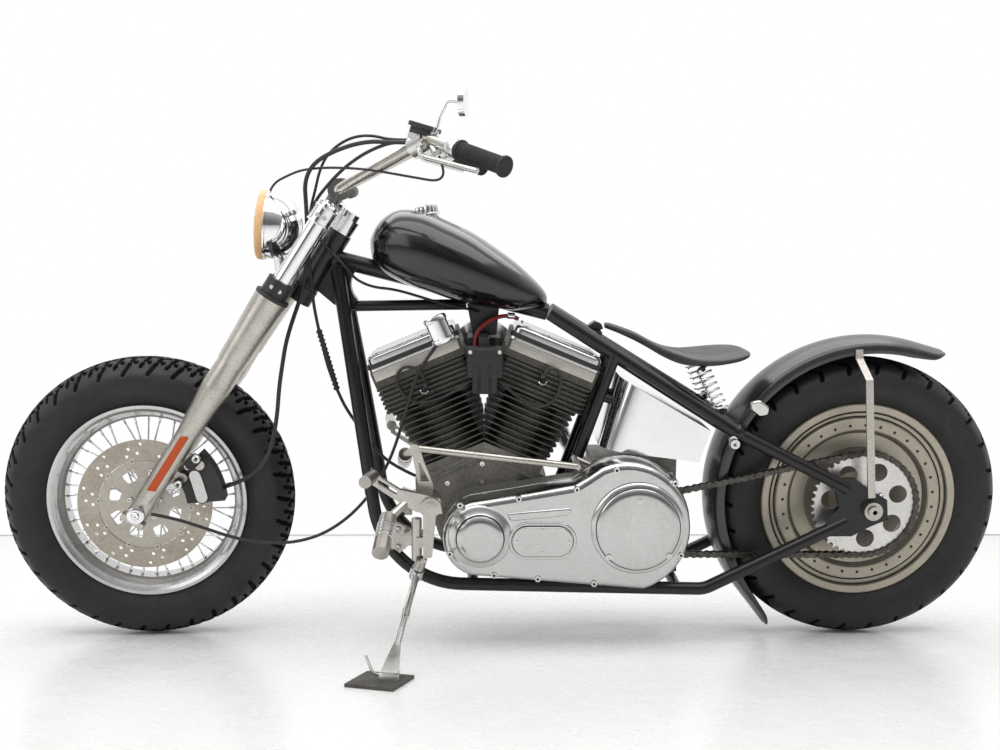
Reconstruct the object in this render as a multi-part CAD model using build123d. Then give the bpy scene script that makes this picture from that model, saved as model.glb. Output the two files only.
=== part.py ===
from build123d import *
import os
from math import asin, atan2, cos, degrees, pi, radians, sin, sqrt, tan

# A rigid-frame V-twin chopper, resting on its side stand.
# Everything is drawn upright and with its fork straight first, in millimetres: X forward from
# the rear axle, Y to the rider's left, Z up from the ground line.  steered() then turns the fork
# and the front wheel to where they rest, and stand() leans the whole machine to its left about
# the ground line and puts the origin on the floor under the middle of the machine.

# ---- stance ----
LEAN_DEG = 9.5
STEER_DEG = 3.0           # the fork rests turned a little to the left
WHEELBASE = 1596.0

# ---- wheels and tyres ----
BEAD_R = 204.0            # bead seat of a 16 inch rim
FLANGE_R = 219.0
FRONT_TYRE_R = 320.0
FRONT_TYRE_HALF = 65.0
FRONT_SHOULDER_DROP = 22.0
FRONT_SHOULDER_HALF = 52.0
FRONT_RIM_HALF = 41.0
REAR_TYRE_R = 322.0
REAR_TYRE_HALF = 66.0
REAR_SHOULDER_DROP = 22.0
REAR_SHOULDER_HALF = 54.0
REAR_RIM_HALF = 43.0
SIDEWALL_R = 262.0        # radius at which both tyres are widest
AXLE_FIT = 0.05           # radial running clearance on both axles
FRONT_AXLE_R = 11.0
REAR_AXLE_R = 12.7
SPOKE_COUNT = 40
SPOKE_R = 2.0
DISC_R = 146.0
DISC_THICK = 5.0
FRONT_DISC_Y = 62.0
HUB_R = 24.0
HUB_HALF = 84.0
HUB_FLANGE_R = 40.0
HUB_FLANGE_Y = 30.0

# ---- steering head and fork ----
RAKE_DEG = 32.6
CLAMP_OFFSET = 45.0       # fork legs ahead of the steering axis
FORK_HALF = 115.0
FORK_TUBE_R = 20.5
FORK_TOP = 774.0          # distances along the fork, up from the front axle
UPPER_CLAMP_LOW = 735.0
CLAMP_THICK = 35.0
LOWER_CLAMP_LOW = 556.0
SHROUD_LOW = 386.0
SHROUD_R = 37.0
SLIDER_R = 30.5
SLIDER_WAIST = 321.0
SLIDER_THIN = 200.0
SLIDER_LOW_R = 23.0
FORK_FOOT = -24.0
STEM_R = 14.0
STEM_FIT = 0.05
NECK_R = 27.0
NECK_GAP = 1.0

# ---- frame tubes ----
RAIL_Y = 125.0
TUBE_R = 14.0
RAIL_BEND = 200.0         # where the down tubes turn into the lower rails
DOWN_TUBE_R = 15.0
SPINE_R = 19.0
BAR_TUBE_R = 12.0         # the bar under the backbone
STAY_R = 18.0
STAY_REAR_R = 14.0
PLATE_THICK = 12.0
SEAT_GAP = 0.3            # between pieces that rest on each other

# ---- final drive ----
CHAIN_PITCH = 15.875
REAR_TEETH = 46
FRONT_TEETH = 24
CHAIN_Y = 84.0
CHAIN_HALF_WIDTH = 9.0
CHAIN_HALF_HEIGHT = 7.5
FRONT_SPROCKET = (512.0, 269.0)
SPROCKET_CLEAR = 5.2

# ---- engine ----
CRANK = (846.0, 285.0)
CYLINDER_ANGLE = 22.5
BARREL_BASE = 160.0       # distances from the crank centre up each cylinder
HEAD_BASE = 296.0
HEAD_TOP = 368.0
COVER_BASE = 397.0
BAND_TOP = 413.0
COVER_TOP = 432.0
BARREL_CORE_R = 62.0
HEAD_HALF_LENGTH = 107.0
HEAD_HALF_WIDTH = 84.0
BAND_HALF_WIDTH = 75.0
BARREL_FINS = 10
HEAD_FINS = 6
FIN_THICK = 3.2
INTAKE_REACH = 25.5

# ---- oil tank ----
OIL_TANK_HALF = 122.0

# ---- rear fender ----
FENDER_GAP = 40.0         # tyre to the crest of the fender's skin
FENDER_HALF = 71.0
FENDER_LIP = 18.0
FENDER_THICK = 3.0
FENDER_FROM = -38.0       # angles of the round part about the fender's centre
FENDER_TO = 106.0
FENDER_TAIL = 62.0        # straight ends beyond the round part
FENDER_TOE = 108.0

# ---- side stand ----
STAND_FOLD = (-288.0, 22.0, -104.0)      # direction of the folded leg from its pivot
PAD_SIDE = 100.0
PAD_THICK = 6.0
PAD_TURN = -20.0
STAND_PIN_R = 6.0

# ---- handlebar and grips ----
BAR_R = 11.1
BAR_FIT = 0.1
BAR_BENDS = [45.0, 30.0, 30.0, 45.0]
GRIP_R = 17.0
GRIP_LENGTH = 115.0
RISER_Y = 33.0
PEG_R = 17.0

rake = radians(RAKE_DEG)
lean = radians(LEAN_DEG)
steer = radians(STEER_DEG)


def crown_radius(drop, half):
    """Radius of the tread arc across a tyre."""
    return (half**2 + drop**2) / (2 * drop)


def front_axle_height():
    """Height, upright and with the fork straight, that sets the leaning, turned tyre on the floor."""
    crown = crown_radius(FRONT_SHOULDER_DROP, FRONT_SHOULDER_HALF)
    wheel_tilt = asin(cos(steer) * sin(lean) + sin(steer) * sin(rake) * cos(lean))
    reach = (FRONT_TYRE_R - crown) * cos(wheel_tilt) + crown + CLAMP_OFFSET * sin(steer) * sin(lean)
    return reach / cos(lean) + CLAMP_OFFSET * (1 - cos(steer)) * sin(rake)


def rear_axle_height():
    """Height, upright, at which the leaning rear tyre just meets the floor."""
    crown = crown_radius(REAR_SHOULDER_DROP, REAR_SHOULDER_HALF)
    return REAR_TYRE_R - crown + crown / cos(lean)


FRONT_AXLE = Vector(WHEELBASE, 0, front_axle_height())
REAR_AXLE = Vector(0, 0, rear_axle_height())
CHAIN_REAR_R = CHAIN_PITCH / (2 * sin(pi / REAR_TEETH))
CHAIN_FRONT_R = CHAIN_PITCH / (2 * sin(pi / FRONT_TEETH))


# ---- places along the fork and at the rails' noses ----
def fork_point(along, y=0.0, ahead=0.0):
    """Point a distance up the fork from the front axle, and square to it, ahead."""
    return Vector(
        FRONT_AXLE.X - along * sin(rake) + ahead * cos(rake),
        y,
        FRONT_AXLE.Z + along * cos(rake) + ahead * sin(rake),
    )


def fork_plane(along, y=0.0):
    """Plane square to the fork, its x ahead and its y to the left."""
    return Plane(origin=fork_point(along, y), x_dir=(cos(rake), 0, sin(rake)),
                 z_dir=(-sin(rake), 0, cos(rake)))


STEER_FRAME = Plane(origin=fork_point(0, 0, -CLAMP_OFFSET), z_dir=(-sin(rake), 0, cos(rake))).location
STEER_TURN = STEER_FRAME * Rot(Z=STEER_DEG) * STEER_FRAME.inverse()
NOSE_X = WHEELBASE - 535.0    # where the down tubes' line meets the lower rails


def steered(shape):
    """Turn a piece of the fork or of the front wheel to where it rests."""
    return STEER_TURN * shape


def steered_point(point):
    return (STEER_TURN * Pos(*point)).position


BAR_POINTS = [            # one side's corners from the middle outwards: along, y, ahead
    fork_point(813, 0, 4),
    fork_point(813, 62, 4),
    fork_point(1003, 250, -102),
    fork_point(1032, 395, -243),
]
PEG_TIP = Vector(NOSE_X - 11, 380, 307)
STAND_PIVOT = Vector(NOSE_X - 72, 192, 203)
PAD_CENTRE = (NOSE_X - 14, 462.0)        # on the floor, before the origin is moved
STAND_FOOT_X = -19.0                     # leg's foot from the pad's centre

# ---- origin: floor point under the middle of the machine's box ----
BAR_TIP = steered_point(BAR_POINTS[3])
LEFT_REACH = BAR_TIP.Y * cos(lean) + BAR_TIP.Z * sin(lean) + GRIP_R
RIGHT_REACH = -PEG_TIP.Y * cos(lean) + (PEG_TIP.Z - PEG_R) * sin(lean)
ORIGIN_X = (WHEELBASE + FRONT_TYRE_R - REAR_TYRE_R) / 2
ORIGIN_Y = (LEFT_REACH + RIGHT_REACH) / 2


def stand(shape):
    """Lean an upright shape onto the side stand and move it to the part's origin."""
    return Pos(-ORIGIN_X, -ORIGIN_Y, 0) * Rot(X=-LEAN_DEG) * shape


# ---- shape helpers ----
def rod(start, end, radius):
    start, end = Vector(start), Vector(end)
    reach = end - start
    bar = Cylinder(radius, reach.length, align=(Align.CENTER, Align.CENTER, Align.MIN))
    return Plane(origin=start, z_dir=reach) * bar


def pipe(points, bends, radius):
    """Round bar along straight runs joined by arcs of the given radius or radii."""
    path = FilletPolyline(*points, radius=bends)
    section = Plane(origin=path @ 0, z_dir=path % 0) * Circle(radius)
    return sweep(section, path=path)


def side_face(outline, y=0.0):
    """Face in an XZ plane from (x, z) corners or ready-made (x, z) edges."""
    plane = Plane(origin=(0, y, 0), x_dir=(1, 0, 0), z_dir=(0, -1, 0))
    edges = Polyline(*outline, close=True) if isinstance(outline, list) else outline
    return plane * make_face(edges)


def side_plate(outline, y_low, y_high):
    """Plate of a side-view outline between two distances from the middle plane."""
    return extrude(side_face(outline, y_low), amount=y_high - y_low, dir=(0, 1, 0))


def disc(x, z, radius, y_low, y_high):
    return rod((x, y_low, z), (x, y_high, z), radius)


def turned(profile, axle):
    """Solid turned about an axle along Y, from (radius, y) corners or edges."""
    edges = Polyline(*profile, close=True) if isinstance(profile, list) else profile
    return Pos(*axle) * revolve(make_face(edges), axis=Axis.Y)


def mirrored(shape):
    return mirror(shape, about=Plane.XZ)


def both_sides(shape):
    return Compound(children=[shape, mirrored(shape)])


def polar(centre, radius, angle_deg):
    angle = radians(angle_deg)
    return (centre[0] + radius * cos(angle), centre[1] + radius * sin(angle))


def block(x_low, x_high, y_low, y_high, z_low, z_high):
    size = (x_high - x_low, y_high - y_low, z_high - z_low)
    return Pos(x_low, y_low, z_low) * Box(*size, align=(Align.MIN, Align.MIN, Align.MIN))


# ---- places on the cylinders and the rails ----


def cylinder_plane(side, along):
    """Plane across a cylinder: side +1 is the front one, -1 the rear one."""
    angle = radians(CYLINDER_ANGLE) * side
    origin = (CRANK[0] + along * sin(angle), 0, CRANK[1] + along * cos(angle))
    return Plane(origin=origin, x_dir=(cos(angle), 0, -sin(angle)), z_dir=(sin(angle), 0, cos(angle)))


def rail_z(x):
    """Height of the lower frame rail's centre."""
    return 158.0 - (1062.0 - x) * 0.0228


# ---- tyres ----
def tyre(outer, half, drop, shoulder_half, rim_half, axle):
    """Tyre on its bead seats, from (radius, y) corners across one half and then the other."""
    shoulder = outer - drop
    side = [
        (BEAD_R, rim_half), (FLANGE_R, rim_half), ((SIDEWALL_R + FLANGE_R) / 2, (half + rim_half) / 2 + 5),
        (SIDEWALL_R, half), ((shoulder + SIDEWALL_R) / 2 + 4, half - 2.5), (shoulder, shoulder_half),
        (outer - drop * 0.22, shoulder_half * 0.5),
    ]
    other = [(radius, -y) for radius, y in reversed(side)]
    return turned(side + [(outer, 0)] + other, axle)


# ---- front wheel ----
def front_rim():
    half = FRONT_RIM_HALF
    profile = [
        (BEAD_R, -half), (BEAD_R, half), (FLANGE_R, half), (FLANGE_R + 1.5, half + 3),
        (FLANGE_R - 1, half + 6), (FLANGE_R - 8, half + 6), (BEAD_R, half + 1), (200, half - 8),
        (192, 22), (187, 18), (187, -18), (192, -22), (200, -half + 8), (BEAD_R, -half - 1),
        (FLANGE_R - 8, -half - 6), (FLANGE_R - 1, -half - 6), (FLANGE_R + 1.5, -half - 3),
        (FLANGE_R, -half),
    ]
    return turned(profile, FRONT_AXLE)


def front_hub():
    bore = FRONT_AXLE_R + AXLE_FIT
    profile = [
        (bore, -HUB_HALF), (bore, HUB_HALF), (18, HUB_HALF), (18, FRONT_DISC_Y), (HUB_FLANGE_R, FRONT_DISC_Y),
        (HUB_FLANGE_R, FRONT_DISC_Y - 7), (HUB_R, FRONT_DISC_Y - 10), (HUB_R, HUB_FLANGE_Y + 4),
        (HUB_FLANGE_R, HUB_FLANGE_Y + 2), (HUB_FLANGE_R, HUB_FLANGE_Y - 2), (HUB_R, HUB_FLANGE_Y - 4),
        (HUB_R, -HUB_FLANGE_Y + 4), (HUB_FLANGE_R, -HUB_FLANGE_Y + 2),
        (HUB_FLANGE_R, -HUB_FLANGE_Y - 2), (HUB_R, -HUB_FLANGE_Y - 4), (HUB_R, -48), (18, -50), (18, -HUB_HALF),
    ]
    hub = turned(profile, FRONT_AXLE)
    spokes = []
    rim_reach = 186.6
    for index in range(SPOKE_COUNT):
        angle = 360 / SPOKE_COUNT * index
        side = 1 if index % 2 else -1
        lay = 28 if index % 4 < 2 else -28
        inner = polar((FRONT_AXLE.X, FRONT_AXLE.Z), HUB_FLANGE_R - 5, angle + lay)
        outer = polar((FRONT_AXLE.X, FRONT_AXLE.Z), rim_reach, angle)
        spokes.append(rod((inner[0], side * HUB_FLANGE_Y, inner[1]),
                          (outer[0], side * 6, outer[1]), SPOKE_R))
    return hub.fuse(*spokes)


def front_disc():
    centre = (FRONT_AXLE.X, FRONT_AXLE.Z)
    plate = disc(*centre, DISC_R, FRONT_DISC_Y, FRONT_DISC_Y + DISC_THICK)
    plate -= disc(*centre, 18.1, FRONT_DISC_Y - 1, FRONT_DISC_Y + DISC_THICK + 1)
    windows = []
    for index in range(8):
        at = polar(centre, 72, 45 * index + 20)
        windows.append(disc(*at, 14, FRONT_DISC_Y - 1, FRONT_DISC_Y + DISC_THICK + 1))
    return plate - windows


# ---- rear wheel ----
def rear_wheel():
    half = REAR_RIM_HALF
    hub_end = CHAIN_Y - 4
    bore = REAR_AXLE_R + AXLE_FIT
    left = [
        (BEAD_R, half), (FLANGE_R, half), (FLANGE_R + 1.5, half + 3), (FLANGE_R - 1, half + 6),
        (BEAD_R, half + 4), (200, half - 4), (188, half - 6), (186, half), (160, half), (158, half - 10),
        (62, half - 14), (58, hub_end), (bore, hub_end),
    ]
    right = [(r, -y) for r, y in reversed(left)]
    return turned(left + right, REAR_AXLE)


def rear_sprocket():
    centre = (REAR_AXLE.X, REAR_AXLE.Z)
    low, high = CHAIN_Y - 4, CHAIN_Y + 4
    outer = CHAIN_REAR_R - CHAIN_HALF_HEIGHT - SPROCKET_CLEAR
    plate = disc(*centre, outer, low, high) - disc(*centre, REAR_AXLE_R + AXLE_FIT, low - 1, high + 1)
    holes = [disc(*polar(centre, 78, 360 / 7 * index + 8.1), 20, low - 1, high + 1) for index in range(7)]
    return plate - holes


def rear_disc():
    centre = (REAR_AXLE.X, REAR_AXLE.Z)
    low, high = -CHAIN_Y - 2, -CHAIN_Y + 4
    plate = disc(*centre, DISC_R, low, high) - disc(*centre, REAR_AXLE_R + AXLE_FIT, low - 1, high + 1)
    windows = [disc(*polar(centre, 78, 45 * index), 15, low - 1, high + 1) for index in range(8)]
    return plate - windows


# ---- chain ----
def belt_face(grow, y):
    """Face inside the chain's line, grown outwards, from two circles and their tangents."""
    r1, r2 = CHAIN_REAR_R + grow, CHAIN_FRONT_R + grow
    c1, c2 = (REAR_AXLE.X, REAR_AXLE.Z), FRONT_SPROCKET
    dx, dz = c2[0] - c1[0], c2[1] - c1[1]
    span = sqrt(dx**2 + dz**2)
    base = degrees(atan2(dz, dx))
    tilt = degrees(atan2(sqrt(span**2 - (r1 - r2) ** 2), r1 - r2))
    top1, top2 = polar(c1, r1, base + tilt), polar(c2, r2, base + tilt)
    low1, low2 = polar(c1, r1, base - tilt), polar(c2, r2, base - tilt)
    rear_back = polar(c1, r1, base + 180)
    front_nose = polar(c2, r2, base)
    outline = Curve() + [Line(top1, top2), ThreePointArc(top2, front_nose, low2),
                         Line(low2, low1), ThreePointArc(low1, rear_back, top1)]
    return side_face(outline, y)


def chain():
    low = CHAIN_Y - CHAIN_HALF_WIDTH
    width = 2 * CHAIN_HALF_WIDTH
    outer = extrude(belt_face(CHAIN_HALF_HEIGHT, low), amount=width, dir=(0, 1, 0))
    inner = extrude(belt_face(-CHAIN_HALF_HEIGHT, low - 1), amount=width + 2, dir=(0, 1, 0))
    return outer - inner


# ---- fork ----
def clamp(low, thick, tube_boss, stem_boss):
    """Cross piece that joins both fork tubes and the steering stem."""
    outline = Circle(stem_boss).moved(Location((-CLAMP_OFFSET, 0)))
    outline += Rectangle(2 * tube_boss - 12, 2 * FORK_HALF)
    outline += Locations((0, FORK_HALF), (0, -FORK_HALF)) * Circle(tube_boss)
    outline += Pos(-CLAMP_OFFSET / 2, 0) * Rectangle(CLAMP_OFFSET, 1.6 * stem_boss)
    outline -= Locations((0, FORK_HALF), (0, -FORK_HALF)) * Circle(FORK_TUBE_R + AXLE_FIT)
    return extrude(fork_plane(low) * outline, amount=thick)


LOWER_BOSS, UPPER_BOSS = 30.0, 25.0
STEM_BOSS = 28.0


def fork_clamps():
    lower = clamp(LOWER_CLAMP_LOW, CLAMP_THICK, LOWER_BOSS, STEM_BOSS)
    upper = clamp(UPPER_CLAMP_LOW, CLAMP_THICK, UPPER_BOSS, STEM_BOSS - 2)
    top = UPPER_CLAMP_LOW + CLAMP_THICK
    stem = rod(fork_point(LOWER_CLAMP_LOW + 2, 0, -CLAMP_OFFSET), fork_point(top, 0, -CLAMP_OFFSET), STEM_R)
    cap = rod(fork_point(top - 1, 0, -CLAMP_OFFSET), fork_point(top + 14, 0, -CLAMP_OFFSET), STEM_R + 6)
    return lower + upper + stem + cap


def fork_tubes():
    low, high = fork_point(SLIDER_THIN + 10, FORK_HALF), fork_point(FORK_TOP, FORK_HALF)
    return both_sides(rod(low, high, FORK_TUBE_R))


def fork_slider():
    """Lower leg with its tapered shroud and axle lug, bored for the tube and the axle."""
    bore = FORK_TUBE_R + AXLE_FIT
    top = LOWER_CLAMP_LOW - 1
    profile = [
        (0, FORK_FOOT), (SLIDER_LOW_R, FORK_FOOT), (SLIDER_LOW_R, SLIDER_THIN), (SLIDER_R + 1, SLIDER_WAIST),
        (SLIDER_R - 1, SHROUD_LOW), (SLIDER_R + 1, SHROUD_LOW), (SHROUD_R, top), (bore, top), (bore, SLIDER_THIN),
        (0, SLIDER_THIN),
    ]
    leg = revolve(Plane.XZ * make_face(Polyline(*profile, close=True)), axis=Axis.Z)
    leg = fork_plane(0, FORK_HALF) * leg
    leg -= rod((FRONT_AXLE.X, 60, FRONT_AXLE.Z), (FRONT_AXLE.X, 160, FRONT_AXLE.Z), FRONT_AXLE_R + 0.02)
    return leg


def fork_sliders():
    leg = fork_slider()
    ears = caliper_ears()
    return Compound(children=[leg + ears, mirrored(leg)])


CALIPER_FROM, CALIPER_TO = 137.0, 176.0
CALIPER_IN, CALIPER_OUT = 96.0, 178.0
CALIPER_LOW_Y, CALIPER_HIGH_Y = 50.0, 88.0


def caliper_outline(inner, outer, start, end):
    centre = (FRONT_AXLE.X, FRONT_AXLE.Z)
    middle = (start + end) / 2
    a, b = polar(centre, outer, start), polar(centre, outer, end)
    c, d = polar(centre, inner, end), polar(centre, inner, start)
    return Curve() + [ThreePointArc(a, polar(centre, outer, middle), b), Line(b, c),
                      ThreePointArc(c, polar(centre, inner, middle), d), Line(d, a)]


def caliper_ears():
    """Two lugs on the left leg that carry the caliper."""
    lugs = None
    centre = (FRONT_AXLE.X, FRONT_AXLE.Z)
    for radius in (112.0, 160.0):
        x, z = polar(centre, radius, CALIPER_FROM + 6)
        foot = fork_point(radius * 0.97, FORK_HALF)
        lug = rod((x, CALIPER_HIGH_Y, z), (x, CALIPER_HIGH_Y + 12, z), 11)
        arm = side_plate([(x, z + 10), (x, z - 10), (foot.X, foot.Z - 10), (foot.X, foot.Z + 10)],
                         CALIPER_HIGH_Y + 2, CALIPER_HIGH_Y + 12)
        lugs = lug + arm if lugs is None else lugs + lug + arm
    return lugs - rod(fork_point(50, FORK_HALF), fork_point(300, FORK_HALF), SLIDER_LOW_R - 2)


def front_caliper():
    outline = caliper_outline(CALIPER_IN, CALIPER_OUT, CALIPER_FROM, CALIPER_TO)
    body = side_plate(outline, CALIPER_LOW_Y, CALIPER_HIGH_Y)
    slot = side_plate(caliper_outline(0.5, DISC_R + 5, CALIPER_FROM - 20, CALIPER_TO + 20),
                      FRONT_DISC_Y - 3, FRONT_DISC_Y + DISC_THICK + 3)
    return body - slot


def front_axle():
    shaft = rod((FRONT_AXLE.X, -140, FRONT_AXLE.Z), (FRONT_AXLE.X, 140, FRONT_AXLE.Z), FRONT_AXLE_R)
    nut = disc(FRONT_AXLE.X, FRONT_AXLE.Z, 17, FORK_HALF + SLIDER_LOW_R + 0.2, FORK_HALF + SLIDER_LOW_R + 12)
    return shaft + nut + mirrored(nut)


# ---- headlamp ----
LAMP_CENTRE = fork_point(659, 0, 100)    # on the lamp's axis, in the rim's back plane
LAMP_AXIS = (0.996, 0, 0.089)
LAMP_R = 74.0
LENS_R = 65.8


def headlamp():
    """Bowl with its rim and the bracket down to the lower clamp."""
    profile = Curve() + [
        ThreePointArc((0, -82), (54, -58), (LAMP_R - 2, -6)), Line((LAMP_R - 2, -6), (LAMP_R, 0)),
        Line((LAMP_R, 0), (LAMP_R, 12)), Line((LAMP_R, 12), (LENS_R + 0.2, 15)),
        Line((LENS_R + 0.2, 15), (LENS_R + 0.2, -6)), ThreePointArc((LENS_R + 0.2, -6), (48, -51), (0, -73)),
        Line((0, -73), (0, -82)),
    ]
    bowl = Plane(origin=LAMP_CENTRE, z_dir=LAMP_AXIS) * revolve(Plane.XZ * make_face(profile), axis=Axis.Z)
    foot = fork_point(LOWER_CLAMP_LOW + CLAMP_THICK - 8, 0, 12)
    post = rod(foot, LAMP_CENTRE + Vector(-26, 0, -64), 13)
    post -= clamp(LOWER_CLAMP_LOW, CLAMP_THICK, LOWER_BOSS + 0.2, STEM_BOSS + 0.2)
    inside = Plane(origin=LAMP_CENTRE, z_dir=LAMP_AXIS) * Pos(0, 0, -18) * Sphere(60)
    return bowl + (post - inside)


def headlamp_lens():
    profile = [(0, 22), (34, 19), (LENS_R, 12), (LENS_R, 3), (0, 3)]
    lens = revolve(Plane.XZ * make_face(Polyline(*profile, close=True)), axis=Axis.Z)
    return Plane(origin=LAMP_CENTRE, z_dir=LAMP_AXIS) * lens


# ---- handlebar and hand controls ----
def bar_tube(radius):
    left = BAR_POINTS[1:]
    right = [Vector(point.X, -point.Y, point.Z) for point in reversed(left)]
    return pipe(right + left, BAR_BENDS, radius)


def handlebar():
    return bar_tube(BAR_R)


def bar_risers():
    """Pair of posts that clamp the bar above the upper fork clamp."""
    centre = BAR_POINTS[0]
    foot = fork_point(UPPER_CLAMP_LOW + CLAMP_THICK + 0.2, RISER_Y, 4)
    low, high = RISER_Y - 13, RISER_Y + 13
    riser = rod(foot, (centre.X, RISER_Y, centre.Z), 14)
    riser += disc(centre.X, centre.Z, 24, low, high)
    riser += disc(centre.X - 24, centre.Z - 6, 13, low, high)
    return both_sides(riser - disc(centre.X, centre.Z, BAR_R + BAR_FIT, low - 20, high + 20))


def grip_frame():
    """The bar's left tip and the direction from it towards the bar's corner."""
    corner, tip = BAR_POINTS[2], BAR_POINTS[3]
    return tip, (corner - tip).normalized()


def grips():
    """Rubber sleeves with an end flange, bored for the bar."""
    tip, inward = grip_frame()
    sleeve = rod(tip + inward * -2, tip + inward * GRIP_LENGTH, GRIP_R)
    for along in (-8, GRIP_LENGTH - 6):
        sleeve += rod(tip + inward * along, tip + inward * (along + 7), GRIP_R + 4)
    sleeve -= rod(tip + inward * -0.2, tip + inward * (GRIP_LENGTH + 5), BAR_R + BAR_FIT)
    return both_sides(sleeve)


def hand_control():
    """Perch clamped on the bar, fluid pot with its lid, knob, lever and switch drum."""
    tip, inward = grip_frame()
    corner = BAR_POINTS[2]
    start = tip + inward * (GRIP_LENGTH + 3)
    body = rod(start, start + inward * 24, 19)
    body += rod(start + inward * 20, start + inward * 46, 15)
    body += rod(corner + Vector(31, -31, -17), corner + Vector(3, -3, -2), 20)
    lid_plane = Plane(origin=corner + Vector(9, -15, 18), x_dir=(-50, 20, -15), z_dir=(-0.28, 0, 0.96))
    body += lid_plane * Box(56, 42, 9, align=(Align.CENTER, Align.CENTER, Align.MIN))
    body += lid_plane * Box(46, 34, 24, align=(Align.CENTER, Align.CENTER, Align.MAX))
    body += rod(corner + Vector(-6, 0, -8), corner + Vector(-13, 20, -28), 8)
    body += rod(corner + Vector(-4, 2, 0), corner + Vector(-15, 4, 16), 7)
    lever_root = corner + Vector(20, -6, -14)
    body += pipe([lever_root, corner + Vector(16, 30, -34), tip + inward * 18 + Vector(34, 0, -14)], 40, 5.5)
    return body - bar_tube(BAR_R + BAR_FIT)


def mirror_arm():
    """Round mirror on a bent stem from the left perch."""
    foot = BAR_POINTS[2] + Vector(-15, 4, 16.3)
    top = foot + Vector(-22, 2, 56)
    glass_centre = top + Vector(-30, 6, -2)
    arm = pipe([foot, foot + Vector(-6, 0, 24), top, glass_centre], [20, 8], 3.5)
    glass = Plane(origin=glass_centre, z_dir=(-0.97, 0.25, 0)) * Cylinder(29, 12)
    return (arm + glass) - hand_control()


# ---- frame ----
NECK_LOW = LOWER_CLAMP_LOW + CLAMP_THICK + NECK_GAP
NECK_HIGH = UPPER_CLAMP_LOW - NECK_GAP
SPINE_FRONT = fork_point(672, 0, -CLAMP_OFFSET)
SPINE_END = Vector(706, 0, 741)
STAY_START = Vector(700, 24, 742)
STAY_JOINT = Vector(297, 110, 491)
STAY_END = REAR_AXLE + Vector(52, RAIL_Y, 46)
DOWN_TOP = fork_point(666, 34, -84)
DOWN_MID = fork_point(488, 74, -243)
RAIL_CORNER = Vector(NOSE_X, RAIL_Y, rail_z(NOSE_X))
DOWN_END = RAIL_CORNER + (DOWN_MID - RAIL_CORNER).normalized() * 196
RAIL_KINK = Vector(360, RAIL_Y, rail_z(360))
RAIL_END = REAR_AXLE + Vector(52, RAIL_Y, -28)
POST_TOP = Vector(561, 60, 650)
POST_LOW = Vector(733, 60, 156)
BAR_FRONT = fork_point(604, 0, -143)
BAR_REAR = Vector(886, 0, 757)
CROSS_X = (870.0, 733.0, 420.0)
CROSS_R = 12.0
GUSSET = [(704, -45), (704, -110), (672, -164), (610, -152), (593, -118), (599, -74), (600, -45)]
GUSSET_HALF = 14.0
GUSSET_CUT = (674, -163, 45)             # along, ahead and radius of the round cut behind it


def neck_solid():
    return rod(fork_point(NECK_LOW, 0, -CLAMP_OFFSET), fork_point(NECK_HIGH, 0, -CLAMP_OFFSET), NECK_R)


def neck_bore():
    return rod(fork_point(NECK_LOW - 2, 0, -CLAMP_OFFSET), fork_point(NECK_HIGH + 2, 0, -CLAMP_OFFSET),
               STEM_R + STEM_FIT)


def spine_bar():
    return rod(SPINE_FRONT, SPINE_END, SPINE_R)


def spine_z(x):
    """Height of the backbone's centre line."""
    share = (x - SPINE_END.X) / (SPINE_FRONT.X - SPINE_END.X)
    return SPINE_END.Z + (SPINE_FRONT.Z - SPINE_END.Z) * share


def frame_neck():
    """Steering head tube with the gusset under the backbone."""
    corners = [fork_point(along, 0, ahead) for along, ahead in GUSSET]
    gusset = side_plate([(corner.X, corner.Z) for corner in corners], -GUSSET_HALF, GUSSET_HALF)
    along, ahead, radius = GUSSET_CUT
    cut = fork_point(along, 0, ahead)
    gusset -= disc(cut.X, cut.Z, radius, -GUSSET_HALF - 1, GUSSET_HALF + 1)
    above = side_plate([(SPINE_FRONT.X, SPINE_FRONT.Z), (SPINE_END.X, SPINE_END.Z), (SPINE_END.X, SPINE_END.Z + 400),
                        (SPINE_FRONT.X, SPINE_FRONT.Z + 400)], -GUSSET_HALF - 1, GUSSET_HALF + 1)
    gusset = gusset - above - spine_bar()
    return neck_solid() + gusset - neck_bore()


def down_tubes():
    tube = pipe([DOWN_TOP, DOWN_MID, DOWN_END], 600, DOWN_TUBE_R)
    return both_sides(tube - frame_neck())


def hanger_plate():
    """Plate under the backbone that holds the engine's top."""
    outline = [(890, spine_z(890)), (812, spine_z(812)), (819, 690), (871, 686)]
    return side_plate(outline, -4, 4) - disc(848, 712, 5, -5, 5)


def frame_spine():
    """Backbone, the bar below it and the engine's top plate."""
    tubes = spine_bar() + rod(BAR_FRONT, BAR_REAR, BAR_TUBE_R) + hanger_plate()
    return tubes - neck_solid() - frame_neck() - down_tubes()


def lower_rail():
    start = DOWN_END + (RAIL_CORNER - DOWN_END).normalized() * 0.5
    return pipe([start, RAIL_CORNER, RAIL_KINK, RAIL_END], [RAIL_BEND, 60], TUBE_R)


def frame_rails():
    return both_sides(lower_rail() - axle_plate())


def frame_cross_members():
    members = []
    for x in CROSS_X:
        bar = rod((x, -RAIL_Y, rail_z(x)), (x, RAIL_Y, rail_z(x)), CROSS_R)
        members.append(bar - lower_rail() - mirrored(lower_rail()))
    return Compound(children=members)


def upper_stay():
    front = rod(STAY_START, STAY_JOINT, STAY_R)
    rear = rod(STAY_JOINT, STAY_END, STAY_REAR_R)
    knuckle = Pos(*STAY_JOINT) * Sphere(STAY_R + 1)
    return front + rear + knuckle


def frame_stays():
    stay = upper_stay() - spine_bar() - axle_plate()
    left = stay - block(300, 900, -200, 0, 400, 900)
    return Compound(children=[left, mirrored(left)])


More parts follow.
